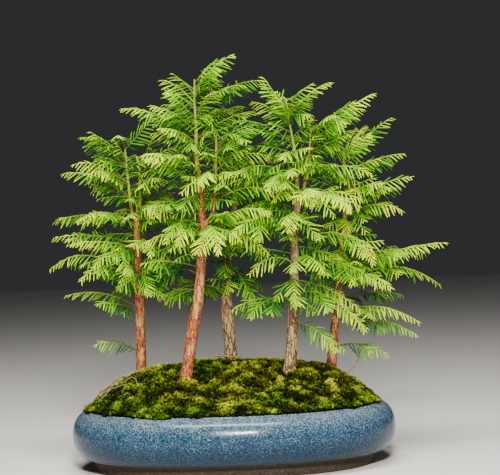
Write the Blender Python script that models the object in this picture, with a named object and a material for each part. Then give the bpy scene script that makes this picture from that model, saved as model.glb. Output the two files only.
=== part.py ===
"""A forest planting of five young dawn redwoods on a mossed mound, in an oval glazed bonsai pot.

Lengths are in millimetres until a mesh is made, x and y are counted from the pot's centre, and the
trees' heights are counted from the pot's rim. Angles are in degrees, 0 along +X and 90 along +Y.
"""

import math
from collections import namedtuple
from itertools import product

import bmesh
import bpy
from mathutils import Vector
from mathutils.bvhtree import BVHTree
from mathutils.geometry import tessellate_polygon

MM = 0.001
CLEARANCE = 0.4  # between pieces that touch
CROWN_OFFSET = 20.5  # the crowns spread this much further to the right of the pot's centre

# The pot: an oval bowl with an incurved lip, standing on a ring foot.
POT_LENGTH = 360.0
POT_WIDTH = 266.0
POT_HEIGHT = 66.0
OVAL_POWER = 2.2  # 2 is an ellipse, and more is squarer
BELLY_HEIGHT = 40.0
WALL = 8.5
FLOOR = 8.0
LIP_INSET = 16.5
LIP_WIDTH = 3.0
LIP_DEPTH = 6.5
LIP_ROUND = 1.5
GLAZE_INSET = 16.5
FOOT_HEIGHT = 12.0
FOOT_WIDTH = 13.0
FOOT_INSET = 24.0
FOOT_DRAFT = 1.0
GLAZE_STEP = 2.0
INNER_ROUND = 16.0
SEGMENTS = 48

# Drainage: two holes, each under a square of mesh held by a wire staple.
DRAIN_SPACING = 180.0
DRAIN_DIAMETER = 20.0
MESH_SIDE = 30.0
MESH_THICKNESS = 1.2
MESH_HOLES = 2  # along each side
WIRE_DIAMETER = 1.5
STAPLE_TAIL = 9.0

# The ground: soil filling the pot to a mound, and moss pads over it.
MOUND_RISE = 45.0
CREST_Y = 25.0
SIDE_POWER = 4.0  # how sharply the mound falls at the sides, at the front and at the back
FRONT_POWER = 1.3
BACK_POWER = 2.0
MOSS_THICKNESS = 6.0
CREST_PAD = 0.45  # the share of the way to the lip that the middle pad covers
PAD_TRIM = 0.4  # degrees that each outer pad is short of its quarter at either end
CREST_SHARES = [CREST_PAD * step / 3 for step in (1, 2, 3)]
OUTER_SHARES = [CREST_PAD + (1 - CREST_PAD) * step / 4 for step in (1, 2, 3, 4)]
ROOT_DEPTH = 20.0  # of each trunk below the moss

# Sides of the round pieces.
TRUNK_SIDES = 8
WIRE_SIDES = 6
ROOT_SIDES = 5
DRAIN_SIDES = 16

# The foliage.
SPRAY_THICKNESS = 1.2
STALK_WIDTH = 1.6
SPRAY_GAP = 0.8  # between a stalk's end and the bark
SIDE_ANGLE = 45.0
FIRST_PAIR = 0.14  # shares of a stalk: to its first pair of side fronds, and from pair to pair
PAIR_PITCH = 0.2
SIDE_SHRINK = 0.15  # each pair of side fronds is this share shorter than the one before it
FROND_SHARE = 0.2  # a frond's half width as a share of its spray's width
FROND_HALF_WIDTH = 8.0
PAIR_FILL = 0.42  # the most of the way to the next side frond that a half width takes
SIDE_DROOP = 0.22
# How far a spray may be moved along its stem, and turned about it, to keep clear of the others.
HEIGHT_STEPS = (0, 3, -3, 6, -6, 9, -9, 13, -13, 17, -17)
TURN_STEPS = (0, 7, -7, 14, -14, 21, -21)

Spray = namedtuple("Spray", "height heading reach rise arch width pairs on_leader", defaults=[False])
Tree = namedtuple("Tree", "foot stem leader sprays")

# A tree's foot is (x, y, radius) at its root's end, under the moss, and the points of its stem and
# its second leader are (x, y, height above the rim, radius).
TREES = {
    "left": Tree(
        foot=(-104, 25, 6.4),
        stem=[
            (-103, 25, 64, 6.0),
            (-103, 25, 130, 5.3),
            (-103, 25, 189, 4.3),
            (-102, 25, 212, 3.8),
            (-98, 24, 234, 2.6),
            (-97, 22, 264, 1.8),
            (-100, 20, 282, 1.2),
        ],
        leader=[
            (-102, 25, 204, 2.8),
            (-108, 24, 219, 2.4),
            (-110, 22, 244, 1.8),
            (-112, 22, 274, 1.4),
            (-113, 20, 294, 1.0),
        ],
        sprays=[
            Spray(54, -160, 45, 10, 4, 26, 0),
            Spray(114, 175, 75, 15, 8, 34, 1),
            Spray(144, -80, 70, -15, 12, 44, 1),
            Spray(140, -175, 92, 20, 22, 46, 2),
            Spray(184, 172, 92, 10, 6, 46, 2),
            Spray(199, 150, 105, 15, 12, 34, 1),
            Spray(189, 35, 80, 10, 18, 34, 1),
            Spray(236, -165, 70, 30, 10, 40, 2, True),
            Spray(280, -150, 50, 25, 6, 38, 1, True),
            Spray(250, -20, 60, 35, 12, 38, 1),
            Spray(226, 95, 75, 20, 10, 42, 2),
        ],
    ),
    "centre": Tree(
        foot=(-54, -30, 7.8),
        stem=[
            (-48, -30, 49, 6.6),
            (-40, -30, 94, 6.5),
            (-34, -30, 121, 6.0),
            (-30, -30, 154, 5.5),
            (-27, -29, 189, 4.8),
            (-27, -27, 219, 4.3),
            (-29, -26, 249, 3.6),
            (-31, -26, 279, 2.8),
            (-30, -26, 309, 1.8),
            (-31, -26, 339, 1.4),
            (-30, -25, 362, 1.0),
        ],
        leader=[
            (-27, -29, 194, 2.6),
            (-14, -32, 216, 1.9),
            (-10, -34, 254, 1.5),
            (-8, -34, 299, 1.2),
            (-14, -33, 316, 1.0),
        ],
        sprays=[
            Spray(149, 140, 80, 10, 6, 36, 1),
            Spray(136, 122, 70, -20, 6, 38, 1),
            Spray(189, -35, 80, 25, 14, 46, 1),
            Spray(199, -75, 80, -20, 16, 54, 1),
            Spray(239, -145, 65, 35, 10, 42, 1),
            Spray(294, 180, 75, 40, 10, 42, 2),
            Spray(339, 160, 34, 25, 4, 34, 1),
            Spray(329, 20, 80, 35, 8, 40, 2),
            Spray(354, 15, 40, 35, 4, 28, 1),
            Spray(284, 0, 45, 20, 8, 38, 1, True),
            Spray(299, 60, 95, 40, 8, 36, 1),
        ],
    ),
    "back": Tree(
        foot=(-1, 45, 8.4),
        stem=[
            (-2, 45, 64, 7.2),
            (-4, 45, 99, 6.9),
            (-5, 45, 122, 6.2),
            (-3, 45, 144, 5.0),
            (2, 45, 184, 4.2),
            (8, 45, 219, 3.4),
            (11, 46, 249, 2.7),
            (13, 46, 276, 2.0),
            (15, 46, 304, 1.3),
        ],
        leader=[],
        sprays=[
            Spray(149, -55, 45, -35, 10, 38, 1),
            Spray(214, 65, 75, -20, 8, 50, 2),
            Spray(239, 115, 82, 5, 8, 50, 2),
            Spray(279, 55, 60, 10, 8, 44, 1),
        ],
    ),
    "right": Tree(
        foot=(61, -20, 7.8),
        stem=[
            (65, -20, 49, 6.9),
            (68, -20, 77, 6.4),
            (71, -20, 116, 5.5),
            (73, -20, 149, 5.0),
            (74, -20, 182, 4.5),
            (77, -20, 215, 3.7),
            (79, -19, 242, 3.0),
            (80, -18, 266, 2.3),
            (76, -18, 292, 1.5),
            (72, -18, 319, 1.2),
            (70, -18, 336, 1.0),
        ],
        leader=[
            (76, -20, 207, 3.0),
            (86, -19, 232, 2.4),
            (89, -18, 254, 2.0),
            (94, -17, 279, 1.4),
            (97, -16, 306, 1.0),
        ],
        sprays=[
            Spray(89, -50, 55, -25, 8, 38, 1),
            Spray(114, -130, 75, -10, 10, 50, 1),
            Spray(124, -35, 80, -40, 14, 54, 2),
            Spray(154, -25, 95, -25, 14, 54, 2),
            Spray(199, -140, 90, -5, 12, 54, 1),
            Spray(229, -55, 90, -15, 10, 48, 1, True),
            Spray(249, -150, 95, -5, 18, 42, 1),
            Spray(279, -10, 70, 60, 8, 42, 2, True),
            Spray(314, -175, 24, 48, 4, 32, 1),
        ],
    ),
    "far_right": Tree(
        foot=(110, 40, 6.8),
        stem=[
            (115, 40, 54, 5.8),
            (118, 40, 77, 5.2),
            (123, 40, 112, 4.3),
            (126, 40, 139, 3.9),
            (129, 40, 169, 3.4),
            (133, 40, 196, 3.0),
            (136, 40, 224, 2.5),
            (136, 40, 254, 2.0),
            (135, 40, 284, 1.3),
        ],
        leader=[],
        sprays=[
            Spray(59, -10, 55, -10, 6, 32, 1),
            Spray(89, -25, 92, -15, 8, 42, 2),
            Spray(124, -15, 108, 5, 22, 40, 1),
            Spray(144, -20, 118, 30, 6, 50, 2),
            Spray(219, -30, 75, 30, 6, 44, 2),
            Spray(264, 20, 55, 55, 6, 40, 1),
        ],
    ),
}


# Dry roots and a dead stem on the moss: (x, y, height above the moss, radius).
DEBRIS = {
    "dry_root_left": [
        (-158, -8, 2.5, 0.7),
        (-150, 4, 5.0, 0.9),
        (-139, -3, 2.8, 1.0),
        (-128, 6, 5.5, 1.0),
        (-118, -2, 2.5, 1.1),
        (-112, 4, 2.2, 0.9),
    ],
    "dry_root_back": [
        (-26, 14, 2.5, 0.8),
        (-17, 24, 5.5, 1.0),
        (-7, 26, 4.0, 1.2),
        (5, 24, 2.5, 1.0),
    ],
    "dead_stem_right": [
        (128, 28, 2.0, 0.8),
        (133, 28, 8.0, 0.8),
        (141, 27, 20.0, 0.7),
        (144, 26, 32.0, 0.6),
        (142, 25, 38.0, 0.5),
    ],
}


def material(name, color, roughness, metallic=0.0):
    made = bpy.data.materials.new(name)
    made.use_nodes = True
    shader = made.node_tree.nodes["Principled BSDF"]
    shader.inputs["Base Color"].default_value = (*color, 1.0)
    shader.inputs["Roughness"].default_value = roughness
    shader.inputs["Metallic"].default_value = metallic
    made.diffuse_color = (*color, 1.0)
    return made


def add_object(name, points, faces, surface, parent):
    """A mesh object from points in millimetres, its faces turned to point outwards."""
    shape = bmesh.new()
    corners = [shape.verts.new(Vector(point) * MM) for point in points]
    for face in faces:
        shape.faces.new([corners[i] for i in face])
    bmesh.ops.recalc_face_normals(shape, faces=shape.faces)
    mesh = bpy.data.meshes.new(name)
    shape.to_mesh(mesh)
    shape.free()
    mesh.shade_smooth()
    mesh.set_sharp_from_angle(angle=math.radians(35))
    obj = bpy.data.objects.new(name, mesh)
    bpy.context.scene.collection.objects.link(obj)
    obj.parent = parent
    if surface:
        mesh.materials.append(surface)
    return obj


def add_boolean(obj, other, operation):
    """Cuts or joins another object, which is then only a guide."""
    modifier = obj.modifiers.new(f"{operation} {other.name}", "BOOLEAN")
    modifier.operation = operation
    modifier.object = other
    other.hide_render = True
    other.display_type = "WIRE"


def add_loft(name, rings, surface, parent, tips=(None, None)):
    """A solid through closed rings of equally many points. Its ends are flat, or rise to a tip."""
    points = [point for ring in rings for point in ring]
    count = len(rings[0])
    last = len(points) - count
    faces = []
    for start in range(0, last, count):
        for i in range(count):
            a, b = start + i, start + (i + 1) % count
            faces.append((a, b, b + count, a + count))
    for start, tip in zip((0, last), tips):
        if tip is None:
            faces.append(tuple(range(start, start + count)))
            continue
        faces += [(start + i, start + (i + 1) % count, len(points)) for i in range(count)]
        points.append(tip)
    return add_object(name, points, faces, surface, parent)


def add_tube(name, path, sides, surface, parent):
    """A tube through (x, y, z, radius) points, whose rings are carried along without twisting."""
    centres = [Vector(point[:3]) for point in path]
    turns = [math.tau * side / sides for side in range(sides)]
    rings = []
    across = Vector((1, 0, 0))
    for i, centre in enumerate(centres):
        along = (centres[min(i + 1, len(path) - 1)] - centres[max(i - 1, 0)]).normalized()
        across = across - along * across.dot(along)
        across = across.normalized() if across.length > 0.1 else along.orthogonal().normalized()
        up = along.cross(across)
        rings.append([centre + path[i][3] * (across * math.cos(t) + up * math.sin(t)) for t in turns])
    return add_loft(name, rings, surface, parent)


def oval_point(inset, angle, height):
    """The point of the pot's oval, drawn in by inset, at an angle and a height."""
    c, s = math.cos(math.radians(angle)), math.sin(math.radians(angle))
    x = (POT_LENGTH / 2 - inset) * math.copysign(abs(c) ** (2 / OVAL_POWER), c)
    y = (POT_WIDTH / 2 - inset) * math.copysign(abs(s) ** (2 / OVAL_POWER), s)
    return Vector((x, y, height))


def oval_ring(inset, height):
    return [oval_point(inset, 360 * i / SEGMENTS, height) for i in range(SEGMENTS)]


def quarter_arc(start, middle, end, steps):
    """Points of a quarter ellipse about its middle, each an (inset, height) pair."""
    pairs = []
    for step in range(steps + 1):
        c, s = math.cos(math.pi / 2 * step / steps), math.sin(math.pi / 2 * step / steps)
        pairs.append([m + (a - m) * c + (b - m) * s for a, m, b in zip(start, middle, end)])
    return pairs


def bowl_profile(clearance):
    """The bowl's inside from its floor to the foot of the lip, or what fits it with a clearance."""
    floor = FOOT_HEIGHT + FLOOR + clearance
    side = WALL + clearance
    lip = LIP_INSET + LIP_WIDTH + clearance
    under_lip = POT_HEIGHT - LIP_ROUND - LIP_DEPTH - clearance
    corner = side + INNER_ROUND
    lower = quarter_arc((corner, floor), (corner, BELLY_HEIGHT), (side, BELLY_HEIGHT), 3)
    upper = quarter_arc((side, BELLY_HEIGHT), (lip, BELLY_HEIGHT), (lip, under_lip), 3)
    return lower + upper[1:]


def make_pot(glaze, parent):
    profile = [
        (FOOT_INSET + FOOT_WIDTH + FOOT_DRAFT, FOOT_HEIGHT),
        (FOOT_INSET + FOOT_WIDTH, 0),
        (FOOT_INSET, 0),
        (FOOT_INSET - FOOT_DRAFT, FOOT_HEIGHT),
    ]
    glaze_edge = (GLAZE_INSET, FOOT_HEIGHT + GLAZE_STEP)
    profile += quarter_arc(glaze_edge, (GLAZE_INSET, BELLY_HEIGHT), (0, BELLY_HEIGHT), 4)
    profile += quarter_arc((0, BELLY_HEIGHT), (LIP_INSET, BELLY_HEIGHT), (LIP_INSET, POT_HEIGHT), 5)[1:]
    profile.append((LIP_INSET + LIP_WIDTH, POT_HEIGHT - LIP_ROUND))
    profile += reversed(bowl_profile(0))
    pot = add_loft("pot", [oval_ring(inset, height) for inset, height in profile], glaze, parent)
    ends = (FOOT_HEIGHT / 2, FOOT_HEIGHT + FLOOR * 1.5)
    for side in (-1, 1):
        path = [(side * DRAIN_SPACING / 2, 0, z, DRAIN_DIAMETER / 2) for z in ends]
        add_boolean(pot, add_tube(f"drain_cutter_{side}", path, DRAIN_SIDES, None, parent), "DIFFERENCE")


def make_drain(side, plastic, copper, parent):
    """A square of mesh over a drain hole, and the wire staple that holds it."""
    name = "left" if side < 0 else "right"
    centre = side * DRAIN_SPACING / 2
    floor = FOOT_HEIGHT + FLOOR + CLEARANCE
    cells = 2 * MESH_HOLES + 1
    pitch = MESH_SIDE / cells
    corner = [-MESH_SIDE / 2 + pitch * i for i in range(cells + 1)]
    points = [(centre + x, y, floor + z) for z in (0, MESH_THICKNESS) for y in corner for x in corner]
    row, sheet = cells + 1, (cells + 1) ** 2
    solid = {(i, j) for i, j in product(range(cells), range(cells)) if not (i % 2 and j % 2)}
    faces = []
    for i, j in solid:
        a, b = j * row + i, (j + 1) * row + i
        faces += [(a, a + 1, b + 1, b), (a + sheet, a + 1 + sheet, b + 1 + sheet, b + sheet)]
        walls = (
            ((i, j - 1), a, a + 1),
            ((i + 1, j), a + 1, b + 1),
            ((i, j + 1), b + 1, b),
            ((i - 1, j), b, a),
        )
        faces += [(p, q, q + sheet, p + sheet) for cell, p, q in walls if cell not in solid]
    add_object(f"drain_mesh_{name}", points, faces, plastic, parent)

    radius = WIRE_DIAMETER / 2
    leg = (DRAIN_DIAMETER / 2 - radius - 2 * CLEARANCE) / math.sqrt(2)
    over = floor + MESH_THICKNESS + CLEARANCE + radius
    under = FOOT_HEIGHT - CLEARANCE - radius
    tail = leg + STAPLE_TAIL
    route = [(-tail, under), (-leg - 1, under), (-leg, under + 1), (-leg, over - 1), (1 - leg, over)]
    route += [(-x, z) for x, z in reversed(route)]
    path = [(centre + x, leg, z, radius) for x, z in route]
    add_tube(f"staple_{name}", path, WIRE_SIDES, copper, parent)


def mound_height(share, angle):
    """The moss's height at a share of the way out from the crest to the lip."""
    s = math.sin(math.radians(angle))
    end = BACK_POWER if s > 0 else FRONT_POWER
    power = SIDE_POWER + (end - SIDE_POWER) * abs(s)
    return POT_HEIGHT + MOUND_RISE * (1 - share**power)


def ground_point(share, angle, sink):
    """A point of the mound, sunk below the moss's surface."""
    edge = oval_point(LIP_INSET + LIP_WIDTH + CLEARANCE, angle, 0)
    point = Vector((0, CREST_Y, 0)).lerp(edge, share)
    point.z = mound_height(share, angle) - sink
    return point


def ground_height(x, y):
    """The moss's height at a place, found from its share of the way out."""
    along, deep = (size / 2 - LIP_INSET - LIP_WIDTH - CLEARANCE for size in (POT_LENGTH, POT_WIDTH))
    low, high = 0.001, 1.0
    for _ in range(30):
        share = (low + high) / 2
        u, v = x / share / along, (CREST_Y + (y - CREST_Y) / share) / deep
        if abs(u) ** OVAL_POWER + abs(v) ** OVAL_POWER > 1:
            low = share
        else:
            high = share
    c, s = (math.copysign(abs(w) ** (OVAL_POWER / 2), w) for w in (u, v))
    return mound_height(share, math.degrees(math.atan2(s, c)))


def make_soil(earth, parent):
    """The soil: the bowl's inside up to the lip, then the mound less the moss."""
    rings = [oval_ring(inset, height) for inset, height in bowl_profile(CLEARANCE)]
    angles = [360 * i / SEGMENTS for i in range(SEGMENTS)]
    sink = MOSS_THICKNESS + CLEARANCE
    for share in reversed(CREST_SHARES + OUTER_SHARES):
        rings.append([ground_point(share, angle, sink) for angle in angles])
    soil = add_loft("soil", rings, earth, parent, tips=(None, ground_point(0, 0, sink)))
    half = MESH_SIDE / 2 + 2 * CLEARANCE
    floor = FOOT_HEIGHT + FLOOR
    room = MESH_THICKNESS + WIRE_DIAMETER + 4 * CLEARANCE
    for side in (-1, 1):
        centre = side * DRAIN_SPACING / 2
        corners = ((-half, -half), (half, -half), (half, half), (-half, half))
        recess = [[(centre + x, y, z) for x, y in corners] for z in (floor - 1, floor + room)]
        add_boolean(soil, add_loft(f"recess_{side}", recess, None, parent), "DIFFERENCE")
    return soil


def make_moss(moss, parent):
    """A pad over the crest, and four around it that reach the lip."""
    step = 360 / SEGMENTS
    angles = [step * i for i in range(SEGMENTS)]
    rings = [[ground_point(share, angle, 0) for angle in angles] for share in CREST_SHARES]
    rings += [
        [ground_point(share, angle, MOSS_THICKNESS) for angle in angles]
        for share in reversed(CREST_SHARES)
    ]
    tips = [ground_point(0, 0, sink) for sink in (0, MOSS_THICKNESS)]
    pads = [add_loft("moss_crest", rings, moss, parent, tips)]
    shortest = POT_WIDTH / 2 - LIP_INSET - LIP_WIDTH - abs(CREST_Y)
    shares = [CREST_PAD + 2 * CLEARANCE / shortest] + OUTER_SHARES
    quarter = SEGMENTS // 4
    for number, name in enumerate(("back", "left", "front", "right")):
        start = 45 + 90 * number
        angles = [start + step * i for i in range(quarter + 1)]
        angles[0] += PAD_TRIM
        angles[-1] -= PAD_TRIM
        sections = []
        for angle in angles:
            top = [ground_point(share, angle, 0) for share in shares]
            bottom = [ground_point(share, angle, MOSS_THICKNESS) for share in reversed(shares)]
            sections.append(top + bottom)
        pads.append(add_loft(f"moss_{name}", sections, moss, parent))
    return pads


def make_trunk(name, tree, bark, parent):
    """A stem rooted in the soil, with its second leader joined on. Returns it and its socket's cutter."""
    x, y, radius = tree.foot
    surface = ground_height(x, y)
    path = [(x, y, surface - ROOT_DEPTH, radius)]
    path += [(x, y, POT_HEIGHT + height, radius) for x, y, height, radius in tree.stem]
    trunk = add_tube(f"trunk_{name}", path, TRUNK_SIDES, bark, parent)
    if tree.leader:
        leader = [(x, y, POT_HEIGHT + height, radius) for x, y, height, radius in tree.leader]
        add_boolean(trunk, add_tube(f"leader_{name}", leader, TRUNK_SIDES, bark, parent), "UNION")
    socket = [(x, y, z, radius + CLEARANCE) for x, y, z, radius in path[:3]]
    socket[0] = (*tree.foot[:2], path[0][2] - CLEARANCE, tree.foot[2] + CLEARANCE)
    return trunk, add_tube(f"socket_{name}", socket, TRUNK_SIDES, None, parent)


def frond_edge(start, direction, length, half_width):
    """A toothed frond's edge, out along one side to the tip and back along the other."""
    across = Vector((-direction.y, direction.x))
    teeth = ((0.0, 0.2), (0.22, 0.65), (0.46, 1.0), (0.56, 0.65), (0.8, 0.72))
    out = [start + direction * length * t - across * half_width * w for t, w in teeth]
    back = [start + direction * length * t + across * half_width * w for t, w in reversed(teeth)]
    return [*out, start + direction * length, *back]


def spray_outline(spray):
    """A spray seen flat, with its stalk along +X: pairs of side fronds, and one at the end."""
    angle = math.radians(SIDE_ANGLE)
    direction = Vector((math.cos(angle), -math.sin(angle)))
    side = [Vector((0, -STALK_WIDTH / 2))]
    for pair in range(spray.pairs):
        root = Vector((spray.reach * (FIRST_PAIR + PAIR_PITCH * pair), -STALK_WIDTH / 2))
        half = min(PAIR_FILL * spray.reach * PAIR_PITCH * math.sin(angle), FROND_SHARE * spray.width)
        side += frond_edge(root, direction, spray.width * (1 - SIDE_SHRINK * pair), half)
    start = spray.reach * (FIRST_PAIR + PAIR_PITCH * (spray.pairs + 0.4))
    half = min(FROND_SHARE * spray.width, FROND_HALF_WIDTH)
    end = frond_edge(Vector((start, 0)), Vector((1, 0)), spray.reach - start, half)
    return side + end + [Vector((point.x, -point.y)) for point in reversed(side)]


def spray_points(spray, path, rise, turn):
    """The top sheet of a spray that starts beside its stem: it rises, arches and droops at its sides."""
    height = spray.height + rise
    low = max(i for i, point in enumerate(path[:-1]) if point[2] <= height or i == 0)
    share = min(1, max(0, (height - path[low][2]) / (path[low + 1][2] - path[low][2])))
    x, y, height, radius = (a + (b - a) * share for a, b in zip(path[low], path[low + 1]))
    heading = math.radians(spray.heading + turn)
    ahead = Vector((math.cos(heading), math.sin(heading), 0))
    aside = Vector((-ahead.y, ahead.x, 0))
    base = Vector((x, y, POT_HEIGHT + height)) + ahead * (radius + SPRAY_GAP)
    points = []
    for point in spray_outline(spray):
        t = point.x / spray.reach
        lift = spray.rise * t + 4 * spray.arch * t * (1 - t) - SIDE_DROOP * abs(point.y)
        points.append(base + ahead * point.x + aside * point.y + Vector((0, 0, lift)))
    return points


def tree_of(points, faces):
    return BVHTree.FromPolygons(points, faces, epsilon=CLEARANCE)


def make_spray(name, spray, path, leaf, parent, taken):
    """A spray at its place, or as little moved up, down or round as keeps it clear of the others."""
    outline = [point.to_3d() for point in spray_outline(spray)]
    count = len(outline)
    sheet = tessellate_polygon([outline])
    faces = [tuple(face) for face in sheet] + [tuple(i + count for i in face) for face in sheet]
    faces += [(i, (i + 1) % count, (i + 1) % count + count, i + count) for i in range(count)]
    tries = sorted(product(HEIGHT_STEPS, TURN_STEPS), key=lambda step: abs(step[0]) + abs(step[1]))
    for rise, turn in tries:
        top = spray_points(spray, path, rise, turn)
        points = top + [point - Vector((0, 0, SPRAY_THICKNESS)) for point in top]
        shape = tree_of(points, faces)
        if not any(shape.overlap(other) for other in taken):
            taken.append(shape)
            return add_object(name, points, faces, leaf, parent)
    raise ValueError(f"there is no room for {name}")


def clear_scene():
    for obj in list(bpy.data.objects):
        bpy.data.objects.remove(obj)


def main():
    clear_scene()
    glaze = material("speckled_blue_glaze", (0.09, 0.17, 0.27), 0.2)
    plastic = material("black_mesh", (0.02, 0.02, 0.02), 0.6)
    copper = material("anodised_wire", (0.25, 0.12, 0.06), 0.4, 1.0)
    earth = material("potting_soil", (0.035, 0.022, 0.014), 0.95)
    moss = material("moss", (0.14, 0.17, 0.03), 0.9)
    bark = material("bark", (0.24, 0.1, 0.055), 0.75)
    leaf = material("needles", (0.2, 0.38, 0.04), 0.5)
    dry = material("dry_root", (0.2, 0.12, 0.07), 0.9)

    planting = bpy.data.objects.new("planting", None)
    bpy.context.scene.collection.objects.link(planting)
    planting.location.x = -CROWN_OFFSET * MM

    make_pot(glaze, planting)
    for side in (-1, 1):
        make_drain(side, plastic, copper, planting)
    ground = [make_soil(earth, planting), *make_moss(moss, planting)]
    for name, route in DEBRIS.items():
        path = [(x, y, ground_height(x, y) + lift, radius) for x, y, lift, radius in route]
        add_tube(name, path, ROOT_SIDES, dry, planting)

    taken = []
    for name, tree in TREES.items():
        trunk, socket = make_trunk(name, tree, bark, planting)
        for piece in ground:
            add_boolean(piece, socket, "DIFFERENCE")
        for guide in [trunk] + [modifier.object for modifier in trunk.modifiers]:
            points = [vertex.co / MM for vertex in guide.data.vertices]
            taken.append(tree_of(points, [tuple(face.vertices) for face in guide.data.polygons]))
    for name, tree in TREES.items():
        for number, spray in enumerate(tree.sprays, 1):
            path = tree.leader if spray.on_leader else tree.stem
            make_spray(f"spray_{name}_{number}", spray, path, leaf, planting, taken)


main()
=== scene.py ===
"""Finishes a forest planting of dawn redwoods in an oval glazed pot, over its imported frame.

Every piece is in metres, in the frame's own axes: +Z up, the viewing side along -Y. Angles are in
radians, and the sizes that a user would change are in millimetres in the property groups below.
"""

import copy
import math
import random

import bmesh
import bpy
import numpy as np
from bpy.props import FloatProperty, FloatVectorProperty, IntProperty, PointerProperty
from mathutils import Matrix, Vector, noise
from mathutils.bvhtree import BVHTree


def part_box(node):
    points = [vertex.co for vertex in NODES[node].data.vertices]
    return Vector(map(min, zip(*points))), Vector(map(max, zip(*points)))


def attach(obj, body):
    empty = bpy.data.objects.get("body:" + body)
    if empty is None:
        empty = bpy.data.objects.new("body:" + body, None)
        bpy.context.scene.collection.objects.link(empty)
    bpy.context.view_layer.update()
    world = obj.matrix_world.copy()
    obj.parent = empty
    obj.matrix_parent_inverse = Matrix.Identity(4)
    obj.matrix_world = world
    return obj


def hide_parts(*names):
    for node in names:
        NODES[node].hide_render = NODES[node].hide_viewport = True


bl_info = {
    "name": "Redwood Forest Planting",
    "version": (1, 0, 0),
    "blender": (4, 5, 0),
    "location": "3D View > Sidebar > Planting",
    "description": "Grows the needles, bark and moss of a bonsai forest and glazes its pot",
    "category": "Object",
}

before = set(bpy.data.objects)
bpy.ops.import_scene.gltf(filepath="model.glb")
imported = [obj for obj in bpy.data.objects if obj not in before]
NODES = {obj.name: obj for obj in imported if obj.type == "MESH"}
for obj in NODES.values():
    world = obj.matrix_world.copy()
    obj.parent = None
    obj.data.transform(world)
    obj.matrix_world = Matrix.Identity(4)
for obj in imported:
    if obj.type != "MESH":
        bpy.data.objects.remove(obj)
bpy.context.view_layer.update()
MM = 0.001
UP = Vector((0, 0, 1))
TREES = ("left", "centre", "back", "right", "far_right")
POT_LOW, POT_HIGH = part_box("pot")
POT_CENTRE = (POT_LOW + POT_HIGH) / 2
RIM = POT_HIGH.z
DRAIN_RADIUS = 10 * MM
MOSS_INSET = 19.9 * MM
CARPET_DEPTH = 4 * MM
# Leaves and fronds follow one another round their stem by the golden angle, in radians.
NEXT_TURN = 2.4
# How far apart the points of a stalk are, at least.
STALK_STEP = 5 * MM
# A bare share past the whole stalk, for wood without needles.
NO_NEEDLES = 2.0
# The taper and the tip's radius, both in mm, and the bare share of each kind of stalk.
MAIN_STALK = (0.7, 0.27, 0.1)
SIDE_STALK = (0.36, 0.22, 0.06)
STEM_STALK = (0.42, 0.22, 0.08)
# A spray that leaves its trunk below this level stands alone, as low ones do.
LONE_SPRAYS = RIM + 100 * MM
# Shortest side frond that is drawn.
SHORTEST_FROND = 11 * MM
# About how far the pot's wall wanders in from its even curve.
WALL_SWELL = 0.3 * MM
FLOOR_HALF = 6
# Sprays that fill the crowns between the CAD ones, by tree: the height above the pot's rim, the heading in
# degrees from +X, then the reach, rise, arch and width, all in mm.
FILLING = {
    "left": (
        (183, -70, 60, -12, 10, 42), (254, -175, 58, 22, 8, 38), (258, -60, 34, 44, 6, 30),
        (215, -62, 60, 0, 10, 42), (168, -125, 62, -8, 12, 40), (176, 22, 60, 0, 10, 38),
        (152, 62, 58, 0, 8, 38), (206, -142, 80, 8, 10, 42), (262, 25, 42, 30, 6, 32),
        (236, 82, 52, 10, 8, 36), (268, 150, 40, 28, 6, 32),
    ),
    "centre": (
        (212, -160, 62, 8, 12, 42), (285, 165, 46, 20, 6, 34), (226, -14, 72, 4, 12, 46),
        (262, 20, 70, 14, 10, 44), (205, 42, 70, 0, 10, 44), (276, -52, 54, 14, 8, 38),
        (318, -62, 42, 26, 6, 34), (332, 82, 42, 26, 6, 34), (246, -104, 50, 0, 12, 42),
        (262, -158, 58, 16, 8, 38), (305, -150, 50, 26, 6, 34), (345, -40, 36, 34, 4, 28),
        (310, 130, 48, 28, 6, 34), (182, 178, 60, 2, 10, 38), (190, -120, 48, -8, 12, 40),
    ),
    "back": (
        (123, -150, 45, -6, 10, 38), (206, -96, 58, -8, 12, 44), (236, -70, 60, 0, 12, 44),
        (262, -112, 52, 12, 8, 40), (226, -22, 60, 6, 10, 44), (182, -62, 58, -14, 12, 44),
        (198, -165, 60, 0, 10, 42), (246, 170, 56, 10, 8, 42), (275, -20, 50, 20, 6, 36),
    ),
    "right": (
        (158, -160, 46, -12, 10, 40), (288, 175, 62, 28, 8, 38), (226, -86, 60, -4, 12, 46),
        (262, -102, 54, 10, 10, 42), (204, -96, 62, -12, 14, 46), (290, -62, 54, 24, 8, 38),
        (300, 6, 58, 24, 8, 38), (246, -22, 74, 6, 12, 46), (216, 165, 68, 0, 10, 42),
        (308, 150, 48, 30, 6, 34), (270, 62, 58, 14, 8, 42), (318, -22, 48, 34, 6, 34),
        (236, -128, 62, 2, 12, 42), (310, -100, 44, 26, 6, 36), (180, -12, 80, -8, 12, 46),
    ),
    "far_right": (
        (206, -25, 66, 5, 10, 40), (245, -5, 64, 30, 8, 38), (95, -32, 95, -8, 12, 42),
        (228, -45, 58, 8, 8, 38), (170, -62, 72, -14, 12, 44), (196, -92, 54, -10, 12, 42),
        (240, -92, 48, 6, 8, 38), (252, 152, 58, 20, 6, 36), (224, 172, 58, 6, 8, 38),
        (270, -60, 38, 34, 4, 30), (276, 60, 40, 34, 4, 32), (150, 20, 84, 10, 10, 42),
    ),
}


# Colour and node helpers


def linear(code):
    """An sRGB hex colour such as #6b3a26 as linear red, green, blue and alpha."""
    channels = [int(code[i : i + 2], 16) / 255 for i in (1, 3, 5)]
    return (*(c / 12.92 if c <= 0.04045 else ((c + 0.055) / 1.055) ** 2.4 for c in channels), 1.0)


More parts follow.
